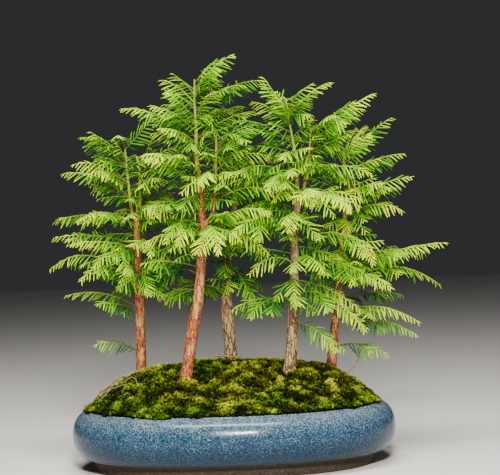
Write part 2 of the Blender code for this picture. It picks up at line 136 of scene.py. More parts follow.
def feed(tree, socket, value):
    """Gives an input a plain value, or links a socket to it, or a node's first output in use."""
    if isinstance(value, bpy.types.Node):
        value = next(output for output in value.outputs if output.enabled)
    if isinstance(value, bpy.types.NodeSocket):
        tree.links.new(value, socket)
    else:
        socket.default_value = value


def add(tree, kind, *values, **settings):
    """Adds a node with its settings and links. A kind without "Node" in its name is a shader node.

    The values go to the inputs in use, in their order. A setting that starts with a capital is an input
    by its name, with _ for a space.
    """
    node = tree.nodes.new(kind if "Node" in kind else f"ShaderNode{kind}")
    inputs = {name: settings.pop(name) for name in list(settings) if name[0].isupper()}
    for name, value in settings.items():
        setattr(node, name, value)
    for socket, value in zip([socket for socket in node.inputs if socket.enabled], values):
        feed(tree, socket, value)
    for name, value in inputs.items():
        feed(tree, node.inputs[name.replace("_", " ")], value)
    return node


def new_material(name):
    """An empty material and its node tree."""
    made = bpy.data.materials.new(name)
    made.use_nodes = True
    made.node_tree.nodes.clear()
    return made, made.node_tree


def finish_material(tree, height=None, distance=MM, **principled):
    """Ends a material in a Principled shader with these inputs, and a bump where it has a height."""
    shader = add(tree, "BsdfPrincipled", **principled)
    if height:
        feed(tree, shader.inputs["Normal"], add(tree, "Bump", Height=height, Distance=distance))
    add(tree, "OutputMaterial", shader)


def set_stops(ramp, stops):
    """Gives a colour ramp its stops, each a place and a hex colour."""
    elements = ramp.color_ramp.elements
    while len(elements) > 1:
        elements.remove(elements[-1])
    for number, (place, code) in enumerate(stops):
        element = elements[0] if number == 0 else elements.new(place)
        element.position = place
        element.color = linear(code)
    return ramp


def new_growth(name, **inputs):
    """A geometry node tree that takes a geometry and named inputs, each of a kind of socket."""
    tree = bpy.data.node_groups.new(name, "GeometryNodeTree")
    for way in ("INPUT", "OUTPUT"):
        tree.interface.new_socket("Geometry", in_out=way, socket_type="NodeSocketGeometry")
    for label, kind in inputs.items():
        tree.interface.new_socket(label, in_out="INPUT", socket_type=f"NodeSocket{kind}")
    return tree, add(tree, "NodeGroupInput").outputs


def grow(obj, tree, **values):
    """Runs a node tree on an object, and leaves the plain mesh that it makes in its place."""
    modifier = obj.modifiers.new(tree.name, "NODES")
    modifier.node_group = tree
    for item in tree.interface.items_tree:
        if item.in_out == "INPUT" and item.name in values:
            modifier[item.identifier] = values[item.name]
    apply_modifiers(obj)


def apply_modifiers(obj):
    """Replaces an object's mesh by the one that its modifiers give."""
    graph = bpy.context.evaluated_depsgraph_get()
    mesh = bpy.data.meshes.new_from_object(obj.evaluated_get(graph), depsgraph=graph)
    old = obj.data
    obj.modifiers.clear()
    obj.data = mesh
    mesh.name = obj.name
    bpy.data.meshes.remove(old)


def linked(name, data):
    """An object with this data, linked to the scene."""
    obj = bpy.data.objects.new(name, data)
    bpy.context.scene.collection.objects.link(obj)
    return obj


def new_object(name, points, faces=(), edges=()):
    """A mesh object in metres, linked to the scene."""
    mesh = bpy.data.meshes.new(name)
    mesh.from_pydata([tuple(point) for point in points], edges, faces)
    mesh.update()
    return linked(name, mesh)


def merged_copy(name, node):
    """A copy of a CAD node's mesh with its loose triangles joined up."""
    shape = bmesh.new()
    shape.from_mesh(NODES[node].data)
    bmesh.ops.remove_doubles(shape, verts=shape.verts, dist=1e-6)
    mesh = bpy.data.meshes.new(name)
    shape.to_mesh(mesh)
    shape.free()
    return linked(name, mesh)


def store(obj, **values):
    """Keeps a number for each point of a mesh, under each name."""
    for name, numbers in values.items():
        obj.data.attributes.new(name, "FLOAT", "POINT").data.foreach_set("value", numbers)


def clamp(value, low=0.0, high=1.0):
    """The value, kept within its limits."""
    return max(low, min(high, value))


def surface_of(*nodes):
    """A search tree over the joined surfaces of CAD nodes."""
    points, faces = [], []
    for node in nodes:
        mesh = NODES[node].data
        start = len(points)
        points += [vertex.co for vertex in mesh.vertices]
        faces += [[start + i for i in face.vertices] for face in mesh.polygons]
    return BVHTree.FromPolygons(points, faces)


def stand_in_for(piece, slot, *nodes):
    """Makes a finished piece ride on the root body in place of CAD nodes."""
    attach(piece, "root")
    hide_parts(*nodes)


def coat(obj, material):
    """Gives an object one finish, in place of any that it has."""
    obj.data.materials.clear()
    obj.data.materials.append(material)


MOSS_SURFACE = surface_of(*(f"moss_{side}" for side in ("crest", "back", "left", "front", "right")))


# Settings


def number_setting(name, description, default, low=0.0, high=1e6):
    """A number that a user may change, with its label, tip and limits."""
    return FloatProperty(name=name, description=description, default=default, min=low, max=high)


def angle_setting(name, description, degrees):
    """An angle that a user may change."""
    return FloatProperty(name=name, description=description, subtype="ANGLE", default=math.radians(degrees))


def count_setting(name, description, default, low=0):
    """A whole number that a user may change."""
    return IntProperty(name=name, description=description, default=default, min=low)


def color_setting(name, description, code):
    """A colour that a user may change."""
    return FloatVectorProperty(
        name=name, description=description, subtype="COLOR", size=4, default=linear(code)
    )


class FoliageSettings(bpy.types.PropertyGroup):
    needle_length: number_setting("Needle length", "Longest needles, in mm", 18.5, 8, 24)
    needle_width: number_setting("Needle width", "Across a needle, in mm", 1.65, 1, 3)
    needle_spacing: number_setting("Needle spacing", "Along a frond, in mm", 4.6, 1.5)
    frond_spacing: number_setting("Frond spacing", "Along a stalk, in mm", 40, 8)
    forward_angle: angle_setting("Forward angle", "Needles to their frond", 64)
    droop: angle_setting("Droop", "Needles below their frond", 27)
    inner_fronds: count_setting("Inner sprays", "Smaller sprays beside each spray", 2)
    stem_frond_step: number_setting("Stem frond step", "Between single fronds, in mm", 6.5, 3)
    crown_start: number_setting("Crown start", "Share of a tree below its crown", 0.45, 0, 0.9)
    lean: number_setting("Lean", "How far the fronds turn to the front", 0.42, -1)
    tip_color: color_setting("Tip colour", "New growth", "#d2e800")
    # Painted shade: the darkest stop, given to the inner, low and back needles.
    shade_color: color_setting("Shade colour", "Old inner needles", "#06301c")
    seed: count_setting("Seed", "Of every spray's chances", 7)


class BarkSettings(bpy.types.PropertyGroup):
    grain: number_setting("Grain", "Size of the mesh's cells, in mm", 0.8, 0.4)
    relief: number_setting("Relief", "Height of the bark's ridges, in mm", 1.3)
    ridge_width: number_setting("Ridge width", "Across a strip of bark, in mm", 3.4, 0.5)
    ridge_length: number_setting("Ridge length", "Along a strip of bark, in mm", 11, 2)


class MossSettings(bpy.types.PropertyGroup):
    cell: number_setting("Cell", "Of the carpet's mesh, in mm", 2.2, 1)
    cushion: number_setting("Cushion", "Height of the moss cushions, in mm", 7.5)
    cushion_size: number_setting("Cushion size", "Across a cushion, in mm", 13, 3)
    sprig_length: number_setting("Sprig length", "Of a moss sprig, in mm", 3.6, 1)
    sprig_density: number_setting("Sprig density", "Sprigs to a square centimetre", 40, 1)
    overhang: number_setting("Overhang", "Moss over the pot's lip, in mm", 7)
    rise: number_setting("Rise", "Of the mound above the pot's rim, in mm", 45)
    crest_y: number_setting("Crest", "Of the mound behind the pot's middle, in mm", 25, -60)
    crest_pad: number_setting("Crest pad", "Share of the way out that it covers", 0.45, 0.1, 0.9)
    side_power: number_setting("Side fall", "How late the mound falls at its sides", 4, 0.5)
    front_power: number_setting("Front fall", "How late it falls at its front", 1.3, 0.5)
    back_power: number_setting("Back fall", "How late it falls at its back", 2, 0.5)


class PotSettings(bpy.types.PropertyGroup):
    segments: count_setting("Segments", "Around the pot", 180, 48)
    lip_inset: number_setting("Lip inset", "Lip inside the belly, in mm", 16.5)
    lip_width: number_setting("Lip width", "Across the lip's top, in mm", 3)
    belly_height: number_setting("Belly height", "Of the widest part, in mm", 40)
    glaze_height: number_setting("Glaze height", "Where the glaze ends, in mm", 14)
    foot_inset: number_setting("Foot inset", "Foot inside the belly, in mm", 24)
    foot_width: number_setting("Foot width", "Across the foot ring, in mm", 13)
    fleck_color: color_setting("Fleck colour", "The pale flecks", "#a9b3b4")


class StageSettings(bpy.types.PropertyGroup):
    lens: number_setting("Lens", "Focal length, in mm", 108, 10)
    distance: number_setting("Distance", "Camera to the pot's middle, in mm", 1677)
    height: number_setting("Height", "Camera above the table, in mm", 257)
    aside: number_setting("Aside", "Camera right of the pot's middle, in mm", 25, -1000)
    pitch: angle_setting("Pitch", "Camera below level", 0.18)
    roll: angle_setting("Roll", "Camera turned", 2)


SETTINGS = {
    "planting_foliage": FoliageSettings,
    "planting_bark": BarkSettings,
    "planting_moss": MossSettings,
    "planting_pot": PotSettings,
    "planting_stage": StageSettings,
}


# Materials


def glazed_stoneware(settings):
    """Speckled blue glaze over stoneware: fine flecks, painted paler and greyer towards the top as painted
    light and deeper blue lower down as painted shade, and a bare clay foot.
    """
    made, tree = new_material("speckled_blue_glaze_fired_over_stoneware")
    # The specks are about 1.3 mm and the flecks 3 mm, a little coarser than real ones so that they show.
    place = add(tree, "TexCoord").outputs["Object"]
    height = add(tree, "SeparateXYZ", place).outputs[2]
    speckle = add(tree, "TexNoise", place, Scale=780.0, Detail=2.0, Roughness=0.9)
    fleck = add(tree, "TexVoronoi", place, Scale=330.0, Randomness=1.0)
    cloud = add(tree, "TexNoise", place, Scale=38.0, Detail=5.0, Roughness=0.6)
    run = add(tree, "Mapping", Vector=place, Scale=(1.0, 1.0, 0.3))
    streak = add(tree, "TexNoise", run, Scale=150.0, Detail=4.0)
    # Painted light and shade: the glaze is painted paler towards the top and deeper blue lower down, and the
    # pale flecks fade out lower down.
    rise = add(tree, "MapRange", height, 0.016, 0.064, 0.0, 1.0)
    lightness = add(tree, "Math", cloud, 0.25, -0.4, operation="MULTIPLY_ADD")
    lightness = add(tree, "Math", rise, 0.6, lightness, operation="MULTIPLY_ADD")
    fine = add(tree, "Math", speckle, 2.7, -1.17, operation="MULTIPLY_ADD")
    fine = add(tree, "Math", streak, 0.16, fine, operation="MULTIPLY_ADD")
    blues = ((0.0, "#001424"), (0.26, "#033250"), (0.5, "#28495e"), (0.74, "#687982"), (1.0, "#aab0ae"))
    body = set_stops(add(tree, "ValToRGB", add(tree, "Math", lightness, fine)), blues)
    spot = add(tree, "MapRange", fleck.outputs["Distance"], 0.12, 0.3, 1.0, 0.0)
    chance = add(tree, "SeparateColor", fleck.outputs["Color"])
    kept = add(tree, "Math", chance, 0.6, operation="GREATER_THAN")
    for part in (kept, rise, 0.4):
        spot = add(tree, "Math", spot, part, operation="MULTIPLY")
    mixed = add(tree, "Mix", spot, body, settings.fleck_color, data_type="RGBA")
    # The glaze stops a little above the foot, with a darker edge, over rough clay.
    wave = add(tree, "TexNoise", place, Scale=45.0, Detail=2.0)
    edge = add(tree, "Math", wave, 0.003, 0.0123, operation="MULTIPLY_ADD")
    above = add(tree, "Math", height, edge, operation="SUBTRACT")
    glazed = add(tree, "MapRange", above, 0.0, 0.0006)
    thick = add(tree, "MapRange", above, 0.0006, 0.004)
    rim = add(tree, "Mix", thick, linear("#141a24"), mixed, data_type="RGBA")
    grit = add(tree, "TexNoise", place, Scale=700.0, Detail=4.0)
    browns = ((0.3, "#1a140f"), (0.55, "#3a3027"), (0.75, "#5e5244"))
    clay = set_stops(add(tree, "ValToRGB", grit), browns)
    color = add(tree, "Mix", glazed, clay, rim, data_type="RGBA")
    roughness = add(tree, "MapRange", glazed, To_Min=0.85, To_Max=0.2)
    orange_peel = add(tree, "TexNoise", place, Scale=90.0, Detail=3.0)
    pits = add(tree, "Mix", glazed, grit, orange_peel)
    look = {"IOR": 1.45, "Specular_IOR_Level": 0.3, "Coat_Weight": 0.08, "Coat_Roughness": 0.06}
    finish_material(tree, pits, 0.4 * MM, Base_Color=color, Roughness=roughness, **look)
    return made


def moss_material(name, dark, middle, light, tip):
    """Cushion moss: each sprig is darker at its base, as older stem and as painted shade under its tip, the
    hollows between cushions are darkened as painted shade, and whole cushions are yellower or greener.
    """
    made, tree = new_material(name)
    place = add(tree, "TexCoord").outputs["Object"]
    patch = add(tree, "TexNoise", place, Scale=42.0, Detail=4.0, Roughness=0.65)
    share = add(tree, "Math", patch, 1.2, -0.3, operation="MULTIPLY_ADD")
    # Painted shade: the hollows between the cushions are darkened, and a sprig's base is darker partly as
    # painted shade.
    for name, weight in (("along", 0.45), ("tint", 0.4), ("hollow", -0.75)):
        part = add(tree, "Attribute", attribute_name=name).outputs["Fac"]
        share = add(tree, "Math", part, weight, share, operation="MULTIPLY_ADD")
    ramp = add(tree, "ValToRGB", share)
    set_stops(ramp, ((0.02, dark), (0.35, middle), (0.66, light), (0.95, tip)))
    # Another kind of moss, darker and greener, grows in wide patches among the first.
    kind = add(tree, "TexNoise", place, Scale=15.0, Detail=3.0)
    kind = add(tree, "MapRange", kind, 0.46, 0.6)
    color = add(tree, "Mix", kind, ramp, linear("#c0f0a4"), data_type="RGBA", blend_type="MULTIPLY")
    finish_material(tree, Base_Color=color, Roughness=0.75, Specular_IOR_Level=0.08)
    return made


def bark_material(name, young, ridge, flake, crack):
    """Living bark: smooth and reddish when young, and cracked in plates that peel in grey flakes when old."""
    made, tree = new_material(name)
    place = add(tree, "TexCoord").outputs["Object"]
    # Fibres about 2 mm apart and plates of 4 mm, each three times as long up the stem.
    long = add(tree, "Mapping", Vector=place, Scale=(1.0, 1.0, 0.3))
    bend = add(tree, "TexNoise", place, Scale=240.0, Detail=3.0).outputs[1]
    bent = add(tree, "VectorMath", bend, (0.004, 0.004, 0.004), long, operation="MULTIPLY_ADD")
    strip = add(tree, "TexNoise", long, Scale=520.0, Detail=5.0, Roughness=0.7)
    plate = add(tree, "TexVoronoi", bent, Scale=230.0)
    edge = add(tree, "TexVoronoi", bent, Scale=230.0, feature="DISTANCE_TO_EDGE")
    fine = add(tree, "TexNoise", place, Scale=1400.0, Detail=3.0)
    age, raised, fresh = (
        add(tree, "Attribute", attribute_name=name).outputs["Fac"] for name in ("age", "raised", "fresh")
    )
    skin = add(tree, "ValToRGB", strip)
    set_stops(skin, ((0.3, crack), (0.46, young), (0.66, ridge), (0.8, flake)))
    chance = add(tree, "SeparateColor", plate.outputs["Color"])
    peels = add(tree, "Math", age, 1.1, -0.1, operation="MULTIPLY_ADD")
    peels = add(tree, "Math", peels, chance, operation="SUBTRACT")
    peels = add(tree, "MapRange", peels, 0.0, 0.12)
    tone = add(tree, "Mix", strip, linear(ridge), linear(flake), data_type="RGBA")
    peeled = add(tree, "Mix", peels, skin, tone, data_type="RGBA")
    seam = add(tree, "MapRange", edge.outputs["Distance"], 0.02, 0.12, 1.0, 0.0)
    seam = add(tree, "Math", seam, age, operation="MULTIPLY", use_clamp=True)
    color = add(tree, "Mix", seam, peeled, linear(crack), data_type="RGBA")
    # Partly painted shade: the fissures between the raised strips take the crack colour by their depth, as
    # dark inner bark and as shade in the fissures.
    deep = add(tree, "MapRange", raised, 0.05, 0.5, 0.0, 1.0)
    color = add(tree, "Mix", deep, linear(crack), color, data_type="RGBA")
    color = add(tree, "Mix", fresh, color, linear("#84a010"), data_type="RGBA")
    grain = add(tree, "Math", fine, strip)
    grain = add(tree, "Math", seam, -1.0, grain, operation="MULTIPLY_ADD")
    finish_material(tree, grain, 0.6 * MM, Base_Color=color, Roughness=0.4, Specular_IOR_Level=0.4)
    return made


def needle_material(settings):
    """Soft flat needles: bluish green where painted shade falls inside the crown, yellow-green on new shoots
    and where painted light falls, paler to the tip.
    """
    made, tree = new_material("dawn_redwood_needles_living")
    growth, chance, along = (
        add(tree, "Attribute", attribute_name=name).outputs["Fac"] for name in ("growth", "tint", "along")
    )
    # The tone carries the crown's painted light and shade, with a random tint and a paler tip.
    share = add(tree, "Math", chance, 0.16, growth, operation="MULTIPLY_ADD")
    share = add(tree, "Math", along, 0.12, share, operation="MULTIPLY_ADD")
    ramp = add(tree, "ValToRGB", share)
    greens = ((0.08, "#06301c"), (0.3, "#205c08"), (0.5, "#5a9a00"), (0.72, "#9ace00"), (0.97, "#d2e800"))
    set_stops(ramp, greens)
    ramp.color_ramp.elements[0].color = settings.shade_color
    ramp.color_ramp.elements[4].color = settings.tip_color
    through = {"Subsurface_Weight": 0.25, "Subsurface_Radius": (1.0, 1.0, 0.25), "Subsurface_Scale": 1.5 * MM}
    finish_material(tree, Base_Color=ramp, Roughness=0.55, Specular_IOR_Level=0.02, **through)
    return made


def twig_material():
    """Green wood: this year's stalks, olive inside the crown as painted shade and yellow-green further out,
    as young shoots and as painted light.
    """
    made, tree = new_material("dawn_redwood_stalks_green_wood")
    growth = add(tree, "Attribute", attribute_name="growth").outputs["Fac"]
    ramp = set_stops(add(tree, "ValToRGB", growth), ((0.1, "#56541a"), (0.4, "#64841a"), (0.8, "#94bc1c")))
    finish_material(tree, Base_Color=ramp, Roughness=0.6, Specular_IOR_Level=0.2)
    return made


def plain_material(name, dark, light, scale, roughness, metallic=0.0):
    """A finish of two close colours in grains of one size, for the small hidden pieces."""
    made, tree = new_material(name)
    place = add(tree, "TexCoord").outputs["Object"]
    grain = add(tree, "TexNoise", place, Scale=scale, Detail=5.0)
    ramp = set_stops(add(tree, "ValToRGB", grain), ((0.35, dark), (0.65, light)))
    finish_material(tree, grain, 0.4 * MM, Base_Color=ramp, Roughness=roughness, Metallic=metallic)
    return made


# The pot


def oval_points(inset, angles, height, power=2.2):
    """A ring of the pot's oval that far inside its widest part, as an array in metres."""
    half = (POT_HIGH - POT_LOW) / 2
    points = np.empty((len(angles), 3))
    for axis, wave in ((0, np.cos(angles)), (1, np.sin(angles))):
        bent = np.sign(wave) * np.abs(wave) ** (2 / power)
        points[:, axis] = POT_CENTRE[axis] + (half[axis] - inset) * bent
    points[:, 2] = height
    return points


def arc(start, end, steps, flat_first):
    """A quarter of an ellipse between two (inset, height) points in mm, level or upright first."""
    points = []
    for step in range(steps + 1):
        turn = math.pi / 2 * step / steps
        shares = (math.sin(turn), 1 - math.cos(turn))
        a, b = reversed(shares) if flat_first else shares
        points.append((start[0] + (end[0] - start[0]) * b, start[1] + (end[1] - start[1]) * a))
    return points


def pot_profile(s):
    """The pot's section from the middle of its underside round to the middle of its floor, in mm."""
    rim, foot = RIM / MM, s.glaze_height - 2
    inner = s.foot_inset + s.foot_width
    profile = [(inner + 3.0, foot), (inner + 1.2, foot - 0.6), (inner + 0.5, foot - 2.5)]
    profile += arc((inner, 1.4), (inner - 1.4, 0), 4, False)
    profile += arc((s.foot_inset + 1.4, 0), (s.foot_inset, 1.4), 4, True)
    profile += [(s.foot_inset - 0.6, foot - 3), (s.foot_inset - 1.0, foot - 0.9)]
    profile += [(s.foot_inset - 2.4, foot - 0.1), (s.lip_inset + 1.6, foot + 0.6)]
    profile += [(s.lip_inset + 0.5, foot + 1.1)]
    profile += arc((s.lip_inset, s.glaze_height), (0, s.belly_height), 16, True)
    profile += arc((0, s.belly_height), (s.lip_inset, rim - 1.2), 20, False)[1:]
    profile += [(s.lip_inset + 0.35, rim - 0.4), (s.lip_inset + 1.1, rim), (s.lip_inset + 2.0, rim - 0.1)]
    lip = s.lip_inset + s.lip_width
    profile += [(lip - 0.4, rim - 0.8), (lip, rim - 1.8), (lip, rim - 8)]
    profile += arc((lip, rim - 8), (8.5, s.belly_height), 8, True)[1:]
    profile += arc((8.5, s.belly_height), (24.5, 20), 8, False)[1:]
    return profile


class PLANTING_OT_pot(bpy.types.Operator):
    """Turns the pot's fine section round its oval, and pierces its floor"""

    bl_idname = "planting.pot"
    bl_label = "Make the Pot"

    def execute(self, context):
        settings = context.scene.planting_pot
        angles = np.arange(settings.segments) * 2 * math.pi / settings.segments
        profile = pot_profile(settings)
        rings = [oval_points(inset * MM, angles, height * MM) for inset, height in profile]
        points = np.concatenate(rings)
        count = settings.segments
        faces = []
        for ring in range(len(rings) - 1):
            for i in range(count):
                a, b = ring * count + i, ring * count + (i + 1) % count
                faces.append((a + count, b + count, b, a))
        faces.append(tuple(range(count)))
        faces.append(tuple(reversed(range(len(points) - count, len(points)))))
        for number, place in enumerate(points):
            if RIM * 0.25 < place[2] < RIM - 0.003:
                out = Vector((place[0] - POT_CENTRE.x, place[1], 0)).normalized()
                swell = noise.noise(Vector(place) * 32) + 0.5 * noise.noise(Vector(place) * 90)
                points[number] -= np.array(out) * WALL_SWELL * (1 + swell)
        pot = new_object("glazed_pot", points, faces)
        recalc_outside(pot)
        for side in ("left", "right"):
            low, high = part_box(f"drain_mesh_{side}")
            cutter = cylinder_at(f"drain_{side}", (low + high) / 2, DRAIN_RADIUS, 0.03, 48)
            cut = pot.modifiers.new("drain", "BOOLEAN")
            cut.object = cutter
            cut.solver = "EXACT"
            apply_modifiers(pot)
            bpy.data.objects.remove(cutter)
        coat(pot, glazed_stoneware(settings))
        shade_smooth(pot, math.radians(38))
        stand_in_for(pot, "speckled_blue_glaze", "pot")
        return {"FINISHED"}


def recalc_outside(obj):
    """Turns every face outwards, as a closed mesh needs."""
    shape = bmesh.new()
    shape.from_mesh(obj.data)
    bmesh.ops.recalc_face_normals(shape, faces=shape.faces)
    if shape.calc_volume(signed=True) < 0:
        bmesh.ops.reverse_faces(shape, faces=shape.faces)
    shape.to_mesh(obj.data)
    shape.free()


def cylinder_at(name, middle, radius, depth, sides):
    """An upright cylinder, as a closed mesh."""
    turns = [2 * math.pi * i / sides for i in range(sides)]
    ring = [(middle.x + radius * math.cos(t), middle.y + radius * math.sin(t)) for t in turns]
    points = [(x, y, middle.z + side * depth / 2) for side in (-1, 1) for x, y in ring]
    faces = [(i, (i + 1) % sides, (i + 1) % sides + sides, i + sides) for i in range(sides)]
    faces += [tuple(reversed(range(sides))), tuple(range(sides, 2 * sides))]
    return new_object(name, points, faces)


def shade_smooth(obj, angle=math.pi):
    """Smooth shading, but for edges sharper than an angle."""
    mesh = obj.data
    mesh.polygons.foreach_set("use_smooth", [True] * len(mesh.polygons))
    mesh.set_sharp_from_angle(angle=angle)


class PLANTING_OT_drainage(bpy.types.Operator):
    """Weaves the mesh over each drain hole, and finishes its staple and the soil"""

    bl_idname = "planting.drainage"
    bl_label = "Make the Drainage"

    def execute(self, context):
        plastic = plain_material("black_drainage_mesh_moulded_polythene", "#101211", "#1c1f1e", 900.0, 0.5)
        wire = plain_material("bonsai_wire_drawn_anodised_aluminium", "#6d4a34", "#86604a", 1500.0, 0.35, 1.0)
        soil = plain_material("potting_soil_akadama_and_bark", "#1d140d", "#4a3423", 380.0, 0.95)
        for side in ("left", "right"):
            grid = lattice(f"drain_mesh_fine_{side}", *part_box(f"drain_mesh_{side}"))
            coat(grid, plastic)
            stand_in_for(grid, "black_mesh", f"drain_mesh_{side}")
            coat(NODES[f"staple_{side}"], wire)
        coat(NODES["soil"], soil)
        return {"FINISHED"}


def lattice(name, low, high):
    """A square of moulded mesh: flat bars, in one closed piece."""
    cells = 21
    size = high.x - low.x
    pitch = size / cells
    middle = (low + high) / 2
    thick = (high.z - low.z) / 2
    solid = {(i, j) for i in range(cells) for j in range(cells) if not (i % 2 and j % 2)}
    row, sheet = cells + 1, (cells + 1) ** 2
    corner = [low.x + pitch * i for i in range(row)], [low.y + pitch * i for i in range(row)]
    points = [(x, y, middle.z + z) for z in (-thick, thick) for y in corner[1] for x in corner[0]]
    faces = []
    for i, j in sorted(solid):
        a, b = j * row + i, (j + 1) * row + i
        faces += [(b, b + 1, a + 1, a), (a + sheet, a + 1 + sheet, b + 1 + sheet, b + sheet)]
        beside = (i, j - 1), (i + 1, j), (i, j + 1), (i - 1, j)
        ends = (a, a + 1), (a + 1, b + 1), (b + 1, b), (b, a)
        faces += [(p, q, q + sheet, p + sheet) for cell, (p, q) in zip(beside, ends) if cell not in solid]
    made = new_object(name, points, faces)
    shape = bmesh.new()
    shape.from_mesh(made.data)
    loose = [vertex for vertex in shape.verts if not vertex.link_faces]
    bmesh.ops.delete(shape, geom=loose, context="VERTS")
    shape.to_mesh(made.data)
    shape.free()
    return made


# The moss


def mound_point(share, angle, settings):
    """A point of the moss's even surface at a share of the way out from its crest, in metres."""
    s = math.sin(angle)
    end = settings.back_power if s > 0 else settings.front_power
    power = settings.side_power + (end - settings.side_power) * abs(s)
    edge = Vector(oval_points(MOSS_INSET, np.array([angle]), 0)[0])
    crest = Vector((POT_CENTRE.x, settings.crest_y * MM, 0))
    point = crest.lerp(edge, share)
    point.z = RIM + settings.rise * MM * (1 - min(share, 1) ** power)
    return point


def cushion_lift(place, settings):
    """How high the moss's cushions stand at a place, from 0 in the gaps to 1."""
    flat = Vector((place.x, place.y, 0)) / (settings.cushion_size * MM)
    bent = flat + 0.35 * Vector((noise.noise(flat * 2.1), noise.noise(flat * 2.1 + Vector((7, 3, 0))), 0))
    near = noise.voronoi(bent)[0]
    dome = max(0.0, 1 - (near[0] / 0.62) ** 2)
    rough = 0.5 + 0.5 * noise.noise(flat * 3.1) + 0.35 * noise.noise(flat * 7.3)
    return 0.5 * dome + 0.5 * rough


def moss_carpet(name, shares, angles, closed, settings):
    """A patch of the carpet with its cushions, closed underneath, with how hollow each point is."""
    points, hollow = [], []
    for share in shares:
        for angle in angles:
            point = mound_point(share, angle, settings)
            lift = cushion_lift(point, settings)
            thin = min(1.0, (1.0 - share) / 0.06) if share > 0.94 else 1.0
            out = (point - POT_CENTRE).to_2d().normalized()
            hollow.append(1 - lift)
            point.z += settings.cushion * MM * (lift - 0.35 * thin) * (0.5 + 0.5 * max(0.0, thin))
            if share >= 1:
                rolled = (share - 1) / (shares[-1] - 1 or 1)
                lobe = max(0.0, 0.5 + 1.6 * noise.noise(point * 38)) * (0.3 + 0.8 * max(0.0, -out.x))
                spread = settings.overhang * MM * lobe * (0.5 + 0.5 * rolled)
                point.x += out.x * spread
                point.y += out.y * spread
                point.z -= (0.5 + 3.2 * lobe) * MM * rolled
            points.append(point)
    rows, count = len(shares), len(angles)
    sheet = rows * count
    points += [point - Vector((0, 0, CARPET_DEPTH)) for point in points]
    hollow += [1.0] * sheet
    faces = []
    last = count if closed else count - 1
    for row in range(rows - 1):
        for i in range(last):
            a, b = row * count + i, row * count + (i + 1) % count
            faces.append((a, a + count, b + count, b))
            faces.append((b + sheet, b + count + sheet, a + count + sheet, a + sheet))
    if closed:
        faces += [tuple(range(count)), tuple(range(sheet, sheet + count))]
    for row in (rows - 1,) if closed else (0, rows - 1):
        for i in range(last):
            a, b = row * count + i, row * count + (i + 1) % count
            faces.append((a, b, b + sheet, a + sheet) if row else (b, a, a + sheet, b + sheet))
    if not closed:
        for row in range(rows - 1):
            for i in (0, count - 1):
                a, b = row * count + i, (row + 1) * count + i
                faces.append((a, a + sheet, b + sheet, b) if i else (b, b + sheet, a + sheet, a))
    made = new_object(name, points, faces)
    recalc_outside(made)
    store(made, hollow=hollow)
    return made


def moss_sprig():
    """One moss sprig, a metre long: a tuft of four pointed leaves leaning out, closed, 16 faces."""
    points, faces, along = [], [], []
    for leaf in range(4):
        turn = leaf * NEXT_TURN
        lean = 0.2 + 0.24 * leaf
        out = Vector((math.cos(turn), math.sin(turn), 0))
        side = Vector((-out.y, out.x, 0))
        reach = 1.0 - 0.09 * leaf
        base = UP * (0.1 * leaf)
        tip = base + UP * reach * math.cos(lean) * 0.8 + out * reach * math.sin(lean)
        start = len(points)
        points += [base + side * 0.17, base - side * 0.17, base + out * 0.2 + UP * 0.1, tip]
        along += [0.0, 0.0, 0.1, 1.0]
        faces += [tuple(start + i for i in face) for face in ((0, 1, 2), (0, 3, 1), (0, 2, 3), (1, 3, 2))]
    sprig = new_object("sprig", points, faces)
    recalc_outside(sprig)
    store(sprig, along=along)
    return sprig


def sprig_growth(material):
    """Nodes that scatter sprigs over the upper side of a carpet, thickest on its cushions."""
    inputs = {"Sprig": "Object", "Length": "Float", "Density": "Float", "Seed": "Int"}
    tree, given = new_growth("Moss Sprigs", **inputs)
    normal = add(tree, "GeometryNodeInputNormal")
    upward = add(tree, "SeparateXYZ", normal).outputs["Z"]
    hollow = add(tree, "GeometryNodeInputNamedAttribute", Name="hollow")
    density = add(tree, "MapRange", hollow, 1.0, 0.35, 0.25, 1.0)
    top = add(tree, "Math", upward, 0.05, operation="GREATER_THAN")
    for part in (top, given["Density"]):
        density = add(tree, "Math", density, part, operation="MULTIPLY")
    spots = add(tree, "GeometryNodeDistributePointsOnFaces", given[0], Density=density, Seed=given["Seed"])
    low, high = (-0.5, -0.5, -0.1), (0.5, 0.5, 0.3)
    lean = add(tree, "FunctionNodeRandomValue", low, high, Seed=3, data_type="FLOAT_VECTOR")
    aim = spots.outputs["Normal"]
    for part in (lean, (0.0, -0.05, 0.35)):
        aim = add(tree, "VectorMath", aim, part)
    turned = add(tree, "FunctionNodeAlignRotationToVector", Vector=aim, axis="Z")
    spin = add(tree, "CombineXYZ", Z=add(tree, "FunctionNodeRandomValue", 0.0, 6.28, Seed=5))
    spin = add(tree, "FunctionNodeEulerToRotation", spin)
    turned = add(tree, "FunctionNodeRotateRotation", turned, spin, rotation_space="LOCAL")
    size = add(tree, "FunctionNodeRandomValue", 0.55, 1.25, Seed=8)
    size = add(tree, "Math", size, given["Length"], operation="MULTIPLY")
    sprig = add(tree, "GeometryNodeObjectInfo", Object=given["Sprig"]).outputs["Geometry"]
    spread = {"Instance": sprig, "Rotation": turned, "Scale": size}
    placed = add(tree, "GeometryNodeInstanceOnPoints", spots, **spread)
    tint = add(tree, "FunctionNodeRandomValue", 0.0, 1.0, Seed=11)
    keep = {"Name": "tint", "Value": tint, "domain": "INSTANCE"}
    placed = add(tree, "GeometryNodeStoreNamedAttribute", placed, **keep)
    joined = add(tree, "GeometryNodeJoinGeometry")
    for part in (add(tree, "GeometryNodeRealizeInstances", placed), given[0]):
        feed(tree, joined.inputs[0], part)
    add(tree, "NodeGroupOutput", add(tree, "GeometryNodeSetMaterial", joined, Material=material))
    return tree


